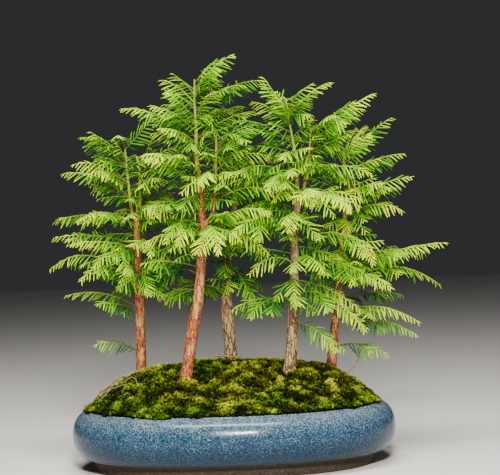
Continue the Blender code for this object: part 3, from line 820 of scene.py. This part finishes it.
class PLANTING_OT_moss(bpy.types.Operator):
    """Grows the moss in five patches: one on the crest and four round it that reach the lip"""

    bl_idname = "planting.moss"
    bl_label = "Grow the Moss"

    def execute(self, context):
        settings = context.scene.planting_moss
        surface = moss_material("cushion_moss_living", "#010200", "#303a03", "#94a014", "#f6ee6c")
        tree = sprig_growth(surface)
        sprig = moss_sprig()
        half = (POT_HIGH.x - POT_LOW.x) / 2
        steps = int(half / (settings.cell * MM))
        around = int(2 * math.pi * half * 0.85 / (settings.cell * MM) / 4) * 4
        edge = round(steps * settings.crest_pad)
        shares = [max(0.012, row / steps) for row in range(steps + 1)] + [1.002, 1.004]
        patches = [("crest", shares[: edge + 1], 0, around, True)]
        for number, name in enumerate(("back", "left", "front", "right")):
            patches.append((name, shares[edge:], around // 8 + around // 4 * number, around // 4, False))
        for number, (name, rows, start, count, closed) in enumerate(patches):
            span = range(start, start + count + (0 if closed else 1))
            angles = [2 * math.pi * i / around for i in span]
            patch = moss_carpet(f"moss_grown_{name}", rows, angles, closed, settings)
            length, density = settings.sprig_length * MM, settings.sprig_density * 1e4
            grow(patch, tree, Sprig=sprig, Length=length, Density=density, Seed=number)
            shade_smooth(patch, math.radians(50))
            stand_in_for(patch, "moss", f"moss_{name}")
        bpy.data.objects.remove(sprig)
        return {"FINISHED"}


# The trunks and the dry wood


def wood_skin(obj, grain, thick, smoothing):
    """Remakes a faceted piece of wood in even cells and rounds it, more where it is thicker."""
    remesh = obj.modifiers.new("cells", "REMESH")
    remesh.mode = "VOXEL"
    remesh.voxel_size = grain * MM
    apply_modifiers(obj)
    mesh = obj.data
    inside = BVHTree.FromPolygons([v.co for v in mesh.vertices], [f.vertices[:] for f in mesh.polygons])
    group = obj.vertex_groups.new(name="thickness")
    for vertex in mesh.vertices:
        inward = -vertex.normal
        hit = inside.ray_cast(vertex.co + inward * 0.0002, inward, thick * MM)
        width = hit[3] / MM if hit[0] else thick
        group.add([vertex.index], clamp((width - 2.0) / 5), "REPLACE")
    smooth = obj.modifiers.new("round", "SMOOTH")
    smooth.iterations = smoothing
    smooth.vertex_group = "thickness"
    apply_modifiers(obj)
    obj.vertex_groups.clear()


def ridges(place, settings):
    """The bark's relief at a place, from 0 in its cracks to 1 on its strips."""
    wide, long = settings.ridge_width * MM, settings.ridge_length * MM
    bend = noise.noise(place / (14 * MM)) * 0.9
    there = Vector((place.x / wide + bend, place.y / wide, place.z / long))
    strip = 1 - abs(noise.noise(there)) * 2.2
    fine = 1 - abs(noise.noise(there * 2.3 + Vector((9, 4, 2)))) * 2.0
    ring = noise.noise(Vector((place.x / (9 * MM), place.y / (9 * MM), place.z / (3.2 * MM))))
    return clamp(1 - (0.6 * strip + 0.3 * fine) + 0.16 * ring + 0.12)


class PLANTING_OT_trunks(bpy.types.Operator):
    """Gives each tree its rounded stem, with ridged bark that peels towards the foot"""

    bl_idname = "planting.trunks"
    bl_label = "Grow the Trunks"

    def execute(self, context):
        settings = context.scene.planting_bark
        red = bark_material("redwood_bark_young_red", "#843414", "#cc8648", "#be8e5c", "#220b04")
        grey = bark_material("redwood_bark_old_peeling", "#744a28", "#ae8a56", "#a89066", "#1c0f08")
        kinds = {"left": (red, 0.25), "centre": (red, 0.3), "back": (grey, 0.62), "right": (grey, 0.55)}
        for tree in TREES:
            material, age = kinds.get(tree, (red, 0.4))
            name = f"trunk_{tree}"
            bark = merged_copy(f"bark_{tree}", name)
            wood_skin(bark, settings.grain, 22, 22)
            low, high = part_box(name)
            mesh = bark.data
            raised, ages, fresh, moved = [], [], [], []
            middle = (low + high) / 2
            normals = [vertex.normal.copy() for vertex in mesh.vertices]
            for vertex, normal in zip(mesh.vertices, normals):
                place = vertex.co
                share = (place.z - low.z) / (high.z - low.z)
                height = ridges(place - Vector((middle.x, middle.y, 0)), settings)
                strength = max(0.15, 1 - share * 1.15)
                raised.append(height if share < 0.75 else 0.5 + 0.5 * height)
                red_foot = 4 * max(0.0, 0.2 - share) if material is red else 0.0
                ages.append(clamp(age + 0.45 - share - red_foot))
                fresh.append(clamp((share - 0.6) * 3.5, 0.0, 0.92))
                moved.extend(place + normal * (height - 0.6) * settings.relief * MM * strength)
            mesh.vertices.foreach_set("co", moved)
            store(bark, raised=raised, age=ages, fresh=fresh)
            coat(bark, material)
            shade_smooth(bark)
            stand_in_for(bark, "bark", name)
        return {"FINISHED"}


class PLANTING_OT_dry_wood(bpy.types.Operator):
    """Rounds the dry roots and the dead stem that lie in the moss"""

    bl_idname = "planting.dry_wood"
    bl_label = "Make the Dry Wood"

    def execute(self, context):
        dry = plain_material("dead_wood_weathered_grey", "#5b4331", "#a78c6e", 700.0, 0.8)
        for name in ("dry_root_left", "dry_root_back", "dead_stem_right"):
            wood = merged_copy(f"{name}_fine", name)
            divide = wood.modifiers.new("round", "SUBSURF")
            divide.levels = divide.render_levels = 2
            apply_modifiers(wood)
            moved = []
            for vertex in wood.data.vertices:
                swell = vertex.normal * 0.0002 * (1 + noise.noise(vertex.co * 400))
                moved.extend(vertex.co + UP * 0.003 + swell)
            wood.data.vertices.foreach_set("co", moved)
            coat(wood, dry)
            shade_smooth(wood)
            stand_in_for(wood, "dry_root", name)
        return {"FINISHED"}


# The small wood that has no CAD piece: how much thicker its foot is than its tip, the tip's radius, and its
# points, all in mm.
TWIGS = {
    "snag_centre": (0.6, 1.3, ((-61, -30, 358), (-66, -32, 362), (-70, -33, 365))),
    "shoot_right": (0.3, 0.6, ((50, -46, 248), (54, -52, 262), (58, -54, 278), (62, -52, 290))),
}


def root_tangle(chance, count):
    """Fine dry roots that wander over the moss at its left shoulder, given as the twigs are."""
    roots = []
    for _ in range(count):
        x, y = chance.uniform(-188, -140), chance.uniform(-26, 16)
        turn = chance.uniform(-0.9, 0.9)
        radius = chance.uniform(0.35, 0.75)
        path = []
        for step in range(9):
            hop = 5.5 * math.sin(math.pi * step / 8) * chance.uniform(0.5, 1.3)
            path.append((x, y, ground_level(x, y) + 1.5 + hop))
            turn += chance.uniform(-0.7, 0.7)
            x += 5.2 * math.cos(turn)
            y += 5.2 * math.sin(turn)
        roots.append((0.4 * radius, 0.6 * radius, path))
    return roots


def ground_level(x, y):
    """The height of the moss's CAD surface at a place, all in mm."""
    hit = MOSS_SURFACE.ray_cast(Vector((x, y, 300)) * MM, -UP)
    return hit[0].z / MM if hit[0] else RIM / MM


class PLANTING_OT_loose_twigs(bpy.types.Operator):
    """Lays the fine dry roots, and sets the snag and the young shoot on their trunks"""

    bl_idname = "planting.loose_twigs"
    bl_label = "Make the Loose Twigs"

    def execute(self, context):
        settings = context.scene.planting_foliage
        dry = plain_material("dry_roots_weathered_pale", "#6b5138", "#c0a480", 700.0, 0.8)
        fresh = plain_material("young_shoot_orange_brown", "#8a4a1c", "#c8863c", 500.0, 0.5)
        chance = random.Random(settings.seed)
        kinds = {name: ([twig], "bark", fresh) for name, twig in TWIGS.items()}
        kinds["dry_root_tangle"] = (root_tangle(chance, 11), "dry_root", dry)
        for name, (twigs, slot, material) in kinds.items():
            fronds = Fronds()
            for taper, tip, points in twigs:
                path = [Vector(point) * MM for point in points]
                fronds.add(path, [0.0] * len(path), UP, taper, tip, NO_NEEDLES)
            piece = fronds.object(name)
            shape = needle()
            set_needles(piece, frond_growth(material, material), shape, 0, settings)
            bpy.data.objects.remove(shape)
            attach(piece, "root")
        return {"FINISHED"}


# The foliage


class Spray:
    """A flat spray, read back from its CAD sheet: where it starts, its heading, reach, curve and width."""

    def __init__(self, node, trunk):
        points = {tuple(round(x, 6) for x in vertex.co) for vertex in NODES[node].data.vertices}
        points = [Vector(point) for point in sorted(points)]
        gaps = [trunk.find_nearest(point)[3] for point in points]
        nearest = points[gaps.index(min(gaps))]
        near = [point for point in points if (point - nearest).length < 2.4 * MM]
        self.base = sum(near, Vector()) / len(near)
        middle = sum(points, Vector()) / len(points)
        self.ahead = (middle - self.base).to_2d().normalized().to_3d()
        self.aside = Vector((-self.ahead.y, self.ahead.x, 0))
        offsets = [point - self.base for point in points]
        along = [offset.dot(self.ahead) for offset in offsets]
        across = [abs(offset.dot(self.aside)) for offset in offsets]
        self.reach = max(x for x, y in zip(along, across) if y < 2 * MM)
        self.width = max(across) * math.sqrt(2)
        rows = []
        for x, y in zip(along, across):
            t = x / self.reach
            rows.append((1, t, 4 * t * (1 - t), -y))
        fit = np.linalg.lstsq(np.array(rows), np.array([offset.z for offset in offsets]), rcond=None)[0]
        self.lift, self.rise, self.arch, self.droop = (float(value) for value in fit)
        self.tilt = 0.0

    def place(self, x, y):
        """The point of the spray's surface that far ahead of its base and that far aside."""
        t = x / self.reach
        lift = self.lift + self.rise * t + 4 * self.arch * t * (1 - t) - self.droop * abs(y)
        across = self.aside * math.cos(self.tilt) + UP * math.sin(self.tilt)
        return self.base + self.ahead * x + across * y + UP * lift


class Filling(Spray):
    """A spray given by its height on a tree and its shape, in mm."""

    def __init__(self, node, row):
        height, heading, reach, rise, arch, width = row
        level = min(RIM + height * MM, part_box(node)[1].z - 0.5 * MM)
        stems = stems_at(node, level)
        turn = math.radians(heading)
        self.ahead = Vector((math.cos(turn), math.sin(turn), 0))
        self.aside = Vector((-self.ahead.y, self.ahead.x, 0))
        middle, radius = max(stems, key=lambda stem: stem[0].dot(self.ahead))
        self.base = middle + self.ahead * radius
        self.reach, self.width, self.rise, self.arch = (value * MM for value in (reach, width, rise, arch))
        self.lift, self.droop, self.tilt = 0.0, 0.22, 0.0


class Fronds:
    """The stalks of one piece of foliage, as chains of points with what grows on them."""

    def __init__(self):
        self.points, self.edges, self.face = [], [], []
        self.values = {"thick": [], "growth": [], "leaf": [], "frond": []}

    def add(self, path, growth, face, taper, tip, bare):
        """Adds one stalk: its radius falls by the taper, in mm, and its foot is bare up to a share."""
        start = len(self.points)
        along = shares(len(path) - 1)
        self.points += path
        self.face += [face] * len(path)
        self.edges += [(start + i, start + i + 1) for i in range(len(path) - 1)]
        self.values["thick"] += [(taper * (1 - share) + tip) * MM for share in along]
        self.values["growth"] += growth
        self.values["leaf"] += [leaf_share(share, bare) for share in along]
        self.values["frond"] += along

    def object(self, name):
        """The stalks as a mesh of edges, with their values at its points."""
        made = new_object(name, self.points, edges=self.edges)
        store(made, **self.values)
        layer = made.data.attributes.new("face", "FLOAT_VECTOR", "POINT")
        layer.data.foreach_set("vector", [value for vector in self.face for value in vector])
        return made


def shares(steps):
    """From 0 to 1 in even steps."""
    return [step / steps for step in range(steps + 1)]


def leaf_share(t, bare):
    """The needles' length along a frond: none on its bare foot, longest in the middle, short at its tip."""
    if t < bare:
        return 0.0
    s = (t - bare) / max(1e-6, 1 - bare)
    body = 0.66 + 0.34 * math.sin(math.pi * min(1.0, s * 1.1 + 0.05))
    return body if s < 0.75 else body * (1 - 0.5 * (s - 0.75) / 0.25)


def youth_and_painted_light(point, crown):
    """The needles' tone at a place: lighter towards the crown's outside, as young shoots are and as painted
    light, and lighter towards its top and front as painted light, so that the inner, low and back needles
    carry painted shade.
    """
    low, high = crown
    middle = (low + high) / 2
    half = (high - low) / 2
    out = abs(point.x - middle.x) / half.x
    front = -(point.y - middle.y) / half.y
    height = (point.z - low.z) / (high.z - low.z)
    return 0.24 + 0.18 * height + 0.17 * front + 0.26 * out


def facing(chance, lean):
    """The way that a frond's upper side faces: up, and leaning to the light at the front."""
    loose = [chance.uniform(-0.3, 0.3) for _ in range(3)]
    return Vector((loose[0], loose[1] - lean, loose[2] + 0.75)).normalized()


def grow_spray(fronds, spray, crown, chance, settings):
    """A stalk with alternate side fronds, laid out over the spray's surface."""
    reach, width = spray.reach, spray.width
    drift = chance.uniform(-0.12, 0.12)
    youth = chance.uniform(-0.22, 0.22)
    face = facing(chance, settings.lean)

    # A needle's tone: the crown's painted light and shade, lighter towards the frond's tip, and a random
    # youth for the spray.
    def glow(point, t):
        return clamp(youth_and_painted_light(point, crown) + 0.75 * (t - 0.5) + youth, 0.02, 0.98)

    along = shares(max(6, int(reach / STALK_STEP)))
    # The stalk's foot is sunk a little into its stem.
    path = [spray.place(-2.6 * MM, 0)] + [spray.place(reach * t, drift * reach * t * t) for t in along[1:]]
    fronds.add(path, [glow(point, t) for point, t in zip(path, along)], face, *MAIN_STALK)
    spacing = settings.frond_spacing * MM / 2
    side = chance.choice((-1, 1))
    for number in range(int(reach * 0.8 / spacing)):
        side = -side
        t = 0.1 + spacing * (number + chance.uniform(-0.25, 0.25)) / reach
        length = width * (0.42 + 0.58 * math.sin(math.pi * min(1, 0.28 + 0.62 * t))) * (1 - t * 0.55)
        length *= chance.uniform(0.8, 1.15)
        if length < SHORTEST_FROND or not 0.05 < t < 0.86:
            continue
        angle = math.radians(chance.uniform(42, 58))
        bend = math.radians(chance.uniform(-4, 20))
        sag = chance.uniform(-0.12, 0.25)
        x, y = reach * t, drift * reach * t * t
        along = shares(max(4, int(length / STALK_STEP)))
        pieces = len(along) - 1
        face = facing(chance, settings.lean)
        path = []
        for s in along:
            if s:
                turn = angle - bend * s
                x += math.cos(turn) * length / pieces
                y += side * math.sin(turn) * length / pieces
            path.append(spray.place(min(x, reach * 1.04), y) - UP * sag * length * s * s)
        growth = [glow(point, t * 0.4 + s * 0.6) for point, s in zip(path, along)]
        fronds.add(path, growth, face, *SIDE_STALK)


def stems_at(node, height):
    """Where a tree's stems cross a level: the middle and the radius of each."""
    mesh = NODES[node].data
    found = []
    for edge in mesh.edges:
        low, high = sorted((mesh.vertices[i].co for i in edge.vertices), key=lambda point: point.z)
        if low.z < height <= high.z:
            found.append(low.lerp(high, (height - low.z) / (high.z - low.z)))
    groups = []
    for point in sorted(found, key=lambda place: place.x):
        near = [group for group in groups if min((point - other).length for other in group) < 5 * MM]
        for group in near:
            groups.remove(group)
        groups.append(sum(near, []) + [point])
    stems = []
    for group in groups:
        middle = sum(group, Vector()) / len(group)
        stems.append((middle, sum((point - middle).length for point in group) / len(group)))
    return stems


def grow_stem_fronds(fronds, node, crown, chance, settings):
    """Single fronds straight from the stems, all the way up the crown, shorter towards the top."""
    low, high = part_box(node)
    bottom = low.z + (high.z - low.z) * settings.crown_start
    level = bottom
    turn = chance.uniform(0, 6.28)
    while level < high.z - 1 * MM:
        share = (level - bottom) / (high.z - bottom)
        for middle, radius in stems_at(node, level):
            turn += NEXT_TURN + chance.uniform(-0.4, 0.4)
            ahead = Vector((math.cos(turn), math.sin(turn), 0))
            length = MM * chance.uniform(34, 64) * (1 - 0.42 * share)
            climb = chance.uniform(-0.05, 0.4) + 0.6 * share**3
            sag = chance.uniform(0.1, 0.5) * (1 - share)
            face = facing(chance, settings.lean)
            along = shares(max(5, int(length / STALK_STEP)))
            path = [
                middle + ahead * (radius * 0.6 + length * s) + UP * (climb * s - sag * s * s) * length
                for s in along
            ]
            # These fronds stand inside the crown, so their tone is lowered as painted shade, and it rises
            # towards the tip.
            growth = [
                clamp(youth_and_painted_light(point, crown) - 0.22 + 0.3 * s, 0.02, 0.9) for point, s in zip(path, along)
            ]
            fronds.add(path, growth, face, *STEM_STALK)
        level += settings.stem_frond_step * MM * chance.uniform(0.7, 1.3)


def needle():
    """One flat needle a metre long: four-sided sections, closed at both ends, 30 triangles."""
    sections = ((0.0, 0.25, 0.35), (0.08, 0.75, 1.0), (0.55, 1.0, 1.0), (0.88, 0.62, 0.8))
    points, along = [], []
    for place, width, thick in sections:
        bow = 0.5 * place - 1.6 * place * place
        for x, z in ((-0.5 * width, 0.0), (0.0, -0.16 * thick), (0.5 * width, 0.0), (0.0, 0.16 * thick)):
            points.append((x, place, z + bow))
            along.append(place)
    points.append((0.0, 1.0, -1.1))
    along.append(1.0)
    faces = [(0, 1, 2, 3)]
    for ring in range(len(sections) - 1):
        for i in range(4):
            a, b = 4 * ring + i, 4 * ring + (i + 1) % 4
            faces.append((a, a + 4, b + 4, b))
    last = 4 * (len(sections) - 1)
    faces += [(last + i, last + (i + 1) % 4, last + 4) for i in range(4)]
    made = new_object("needle", points, faces)
    recalc_outside(made)
    store(made, along=along)
    return made


def frond_growth(leaf_material, wood_material):
    """Nodes that turn stalks into wood, and set a row of needles along each side of them."""
    sizes = dict.fromkeys(("Length", "Width", "Spacing", "Forward", "Droop"), "Float")
    tree, given = new_growth("Two Rows of Needles", Needle="Object", **sizes, Seed="Int")
    stalks = add(tree, "GeometryNodeMeshToCurve", given[0])
    thick, leaf, frond = (
        add(tree, "GeometryNodeInputNamedAttribute", Name=name) for name in ("thick", "leaf", "frond")
    )
    section = add(tree, "GeometryNodeCurvePrimitiveCircle", Resolution=5, Radius=1.0)
    round_stalk = {"Profile_Curve": section, "Scale": thick, "Fill_Caps": True}
    wood = add(tree, "GeometryNodeCurveToMesh", stalks, **round_stalk)
    wood = add(tree, "GeometryNodeSetShadeSmooth", wood)
    wood = add(tree, "GeometryNodeSetMaterial", wood, Material=wood_material)
    spaced = add(tree, "GeometryNodeResampleCurve", stalks, mode="LENGTH", Length=given["Spacing"])
    ahead = add(tree, "GeometryNodeInputTangent")
    face = add(tree, "GeometryNodeInputNamedAttribute", Name="face", data_type="FLOAT_VECTOR")
    flat = add(tree, "VectorMath", ahead, face, operation="CROSS_PRODUCT")
    aside = add(tree, "VectorMath", flat, operation="NORMALIZE")
    above = add(tree, "VectorMath", aside, ahead, operation="CROSS_PRODUCT")
    grown = add(tree, "Math", leaf, 0.1, operation="GREATER_THAN")
    # Needles stand further forward towards a frond's tip.
    turn = add(tree, "Math", frond, 2.0, operation="POWER")
    turn = add(tree, "Math", turn, -0.5, given["Forward"], operation="MULTIPLY_ADD")
    along, across = (add(tree, "Math", turn, operation=wave) for wave in ("COSINE", "SINE"))
    level, down = (add(tree, "Math", given["Droop"], operation=wave) for wave in ("COSINE", "SINE"))
    joined = add(tree, "GeometryNodeJoinGeometry", wood)
    shape = add(tree, "GeometryNodeObjectInfo", Object=given["Needle"]).outputs["Geometry"]
    for side in (-1.0, 1.0):
        seed = add(tree, "FunctionNodeIntegerMath", given["Seed"], int(side))
        aim = add(tree, "VectorMath", aside, level, operation="SCALE")
        aim = add(tree, "VectorMath", aim, side, operation="SCALE")
        fall = add(tree, "VectorMath", above, down, operation="SCALE")
        fall = add(tree, "VectorMath", fall, -1.0, operation="SCALE")
        aim = add(tree, "VectorMath", add(tree, "VectorMath", aim, fall), across, operation="SCALE")
        aim = add(tree, "VectorMath", add(tree, "VectorMath", ahead, along, operation="SCALE"), aim)
        low, high = (-0.19,) * 3, (0.19,) * 3
        loose = add(tree, "FunctionNodeRandomValue", low, high, Seed=seed, data_type="FLOAT_VECTOR")
        aim = add(tree, "VectorMath", aim, loose)
        facing = add(tree, "FunctionNodeAxesToRotation", aim, above, primary_axis="Y", secondary_axis="Z")
        spread = add(tree, "FunctionNodeRandomValue", 0.74, 1.14, Seed=seed)
        long = add(tree, "Math", leaf, given["Length"], operation="MULTIPLY")
        long = add(tree, "Math", long, spread, operation="MULTIPLY")
        slim = add(tree, "Math", leaf, 0.45, 0.55, operation="MULTIPLY_ADD")
        wide = add(tree, "Math", slim, given["Width"], operation="MULTIPLY")
        size = add(tree, "CombineXYZ", wide, long, wide)
        needles = {"Instance": shape, "Selection": grown, "Rotation": facing, "Scale": size}
        row = add(tree, "GeometryNodeInstanceOnPoints", spaced, **needles)
        tint = add(tree, "FunctionNodeRandomValue", -1.0, 1.0, Seed=seed)
        keep = {"Name": "tint", "Value": tint, "domain": "INSTANCE"}
        row = add(tree, "GeometryNodeStoreNamedAttribute", row, **keep)
        row = add(tree, "GeometryNodeRealizeInstances", row)
        row = add(tree, "GeometryNodeSetMaterial", row, Material=leaf_material)
        feed(tree, joined.inputs[0], row)
    add(tree, "NodeGroupOutput", joined)
    return tree


class PLANTING_OT_foliage(bpy.types.Operator):
    """Grows needles and twigs along every spray of every tree"""

    bl_idname = "planting.foliage"
    bl_label = "Grow the Foliage"

    def execute(self, context):
        settings = context.scene.planting_foliage
        tree = frond_growth(needle_material(settings), twig_material())
        shape = needle()
        boxes = [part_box(node) for node in NODES if node.startswith("spray_")]
        crown = (
            Vector([min(low[axis] for low, high in boxes) for axis in range(3)]),
            Vector([max(high[axis] for low, high in boxes) for axis in range(3)]),
        )
        for number, node in enumerate(sorted(name for name in NODES if name.startswith("spray_"))):
            trunk = surface_of(f"trunk_{node[6:].rsplit('_', 1)[0]}")
            spray = Spray(node, trunk)
            chance = random.Random(settings.seed * 1000 + number)
            fronds = Fronds()
            grow_spray(fronds, spray, crown, chance, settings)
            for inner in range(0 if spray.base.z < LONE_SPRAYS else settings.inner_fronds):
                grow_spray(fronds, companion(spray, trunk, inner, chance), crown, chance, settings)
            piece = fronds.object(f"foliage_{node[6:]}")
            set_needles(piece, tree, shape, number, settings)
            stand_in_for(piece, "needles", node)
        for number, name in enumerate(TREES):
            fronds = Fronds()
            chance = random.Random(settings.seed * 100 + number)
            for row in FILLING[name]:
                spray = Filling(f"trunk_{name}", row)
                spray.tilt = chance.uniform(-0.45, 0.45)
                grow_spray(fronds, spray, crown, chance, settings)
            grow_stem_fronds(fronds, f"trunk_{name}", crown, chance, settings)
            piece = fronds.object(f"foliage_{name}_inner")
            set_needles(piece, tree, shape, len(NODES) + number, settings)
            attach(piece, "root")
        bpy.data.objects.remove(shape)
        return {"FINISHED"}


def set_needles(piece, tree, shape, number, settings):
    """Grows the needles on a piece's stalks."""
    sizes = {
        "Length": settings.needle_length * MM,
        "Width": settings.needle_width * MM,
        "Spacing": settings.needle_spacing * MM,
    }
    turns = {"Forward": settings.forward_angle, "Droop": settings.droop}
    grow(piece, tree, Needle=shape, Seed=number * 10, **sizes, **turns)


def companion(spray, trunk, number, chance):
    """A smaller spray that leaves the same stem a little above or below, at another heading."""
    inner = copy.copy(spray)
    hit = trunk.ray_cast(spray.base, -spray.ahead, 0.02)
    start = hit[0] if hit[0] else spray.base
    through = trunk.ray_cast(start - spray.ahead * 0.0003, -spray.ahead, 0.03)
    radius = through[3] / 2 if through[0] else 0.002
    axis = start - spray.ahead * radius
    turn = (1 if number % 2 else -1) * math.radians(chance.uniform(25, 60) + 30 * (number // 2))
    inner.ahead = Matrix.Rotation(turn, 3, "Z") @ spray.ahead
    inner.aside = Matrix.Rotation(turn, 3, "Z") @ spray.aside
    inner.base = axis + inner.ahead * radius + UP * chance.uniform(-0.014, 0.016)
    inner.reach = spray.reach * chance.uniform(0.5, 0.88)
    inner.width = max(0.022, spray.width * chance.uniform(0.55, 0.85))
    inner.rise = spray.rise * chance.uniform(0.3, 0.8)
    inner.arch = spray.arch * chance.uniform(0.3, 1.0)
    inner.tilt = chance.uniform(-0.5, 0.5)
    return inner


# The stage


def area_light(name, place, target, size, power, color):
    """A soft lamp at a place, in metres, turned to a target."""
    lamp = bpy.data.lights.new(name, "AREA")
    lamp.shape = "RECTANGLE"
    lamp.size, lamp.size_y = size
    lamp.energy = power
    lamp.color = linear(color)[:3]
    obj = linked(name, lamp)
    obj.location = place
    obj.rotation_euler = (Vector(target) - Vector(place)).to_track_quat("-Z", "Y").to_euler()
    return obj


class PLANTING_OT_stage(bpy.types.Operator):
    """Sets up the floor, the lamps and the camera"""

    bl_idname = "planting.stage"
    bl_label = "Set the Stage"

    def execute(self, context):
        s = context.scene.planting_stage
        corners = [(x * FLOOR_HALF, y * FLOOR_HALF, 0) for x, y in ((-1, -1), (1, -1), (1, 1), (-1, 1))]
        floor = new_object("floor", corners, [(0, 1, 2, 3)])
        made, tree = new_material("studio_floor_matt_paper")
        finish_material(tree, Base_Color=linear("#e2e0dc"), Roughness=0.9)
        coat(floor, made)
        lamps = [
            area_light("key_front", (0.05, -1.5, 0.8), (0, 0, 0.2), (0.22, 0.16), 45, "#fffaf0"),
            area_light("soft_overhead", (-0.1, -0.65, 1.55), (0, 0, 0.15), (1.1, 0.3), 40, "#fffdf6"),
            area_light("fill_right", (1.5, -0.9, 0.7), (0, 0, 0.25), (0.8, 0.8), 2, "#eef3ff"),
        ]
        world = bpy.data.worlds.new("pale_room")
        world.use_nodes = True
        world.node_tree.nodes["Background"].inputs[0].default_value = linear("#c9ced2")
        world.node_tree.nodes["Background"].inputs[1].default_value = 0.05
        context.scene.world = world
        lens = bpy.data.cameras.new("view")
        lens.sensor_width = 36
        lens.lens = s.lens
        lens.clip_end = 50
        camera = linked("view", lens)
        place = Vector((POT_CENTRE.x + s.aside * MM, -s.distance * MM, s.height * MM))
        turn = Matrix.Rotation(math.pi / 2 - s.pitch, 4, "X") @ Matrix.Rotation(-s.roll, 4, "Z")
        camera.matrix_world = Matrix.Translation(place) @ turn
        context.scene.camera = camera
        return {"FINISHED"}


# The add-on


OPERATORS = (
    PLANTING_OT_pot,
    PLANTING_OT_drainage,
    PLANTING_OT_moss,
    PLANTING_OT_trunks,
    PLANTING_OT_dry_wood,
    PLANTING_OT_loose_twigs,
    PLANTING_OT_foliage,
    PLANTING_OT_stage,
)


class PLANTING_PT_panel(bpy.types.Panel):
    """The settings and the steps, in the order in which they run"""

    bl_idname = "PLANTING_PT_panel"
    bl_label = "Forest Planting"
    bl_space_type = "VIEW_3D"
    bl_region_type = "UI"
    bl_category = "Planting"

    def draw(self, context):
        for name, kind in SETTINGS.items():
            box = self.layout.box()
            group = getattr(context.scene, name)
            for label in kind.__annotations__:
                box.prop(group, label)
        for operator in OPERATORS:
            self.layout.operator(operator.bl_idname)


def register():
    for kind in (*SETTINGS.values(), *OPERATORS, PLANTING_PT_panel):
        bpy.utils.register_class(kind)
    for name, kind in SETTINGS.items():
        setattr(bpy.types.Scene, name, PointerProperty(type=kind))


def unregister():
    for name in SETTINGS:
        delattr(bpy.types.Scene, name)
    for kind in reversed((*SETTINGS.values(), *OPERATORS, PLANTING_PT_panel)):
        bpy.utils.unregister_class(kind)


def main():
    register()
    for operator in OPERATORS:
        group, name = operator.bl_idname.split(".")
        getattr(getattr(bpy.ops, group), name)()


if __name__ == "__main__":
    main()
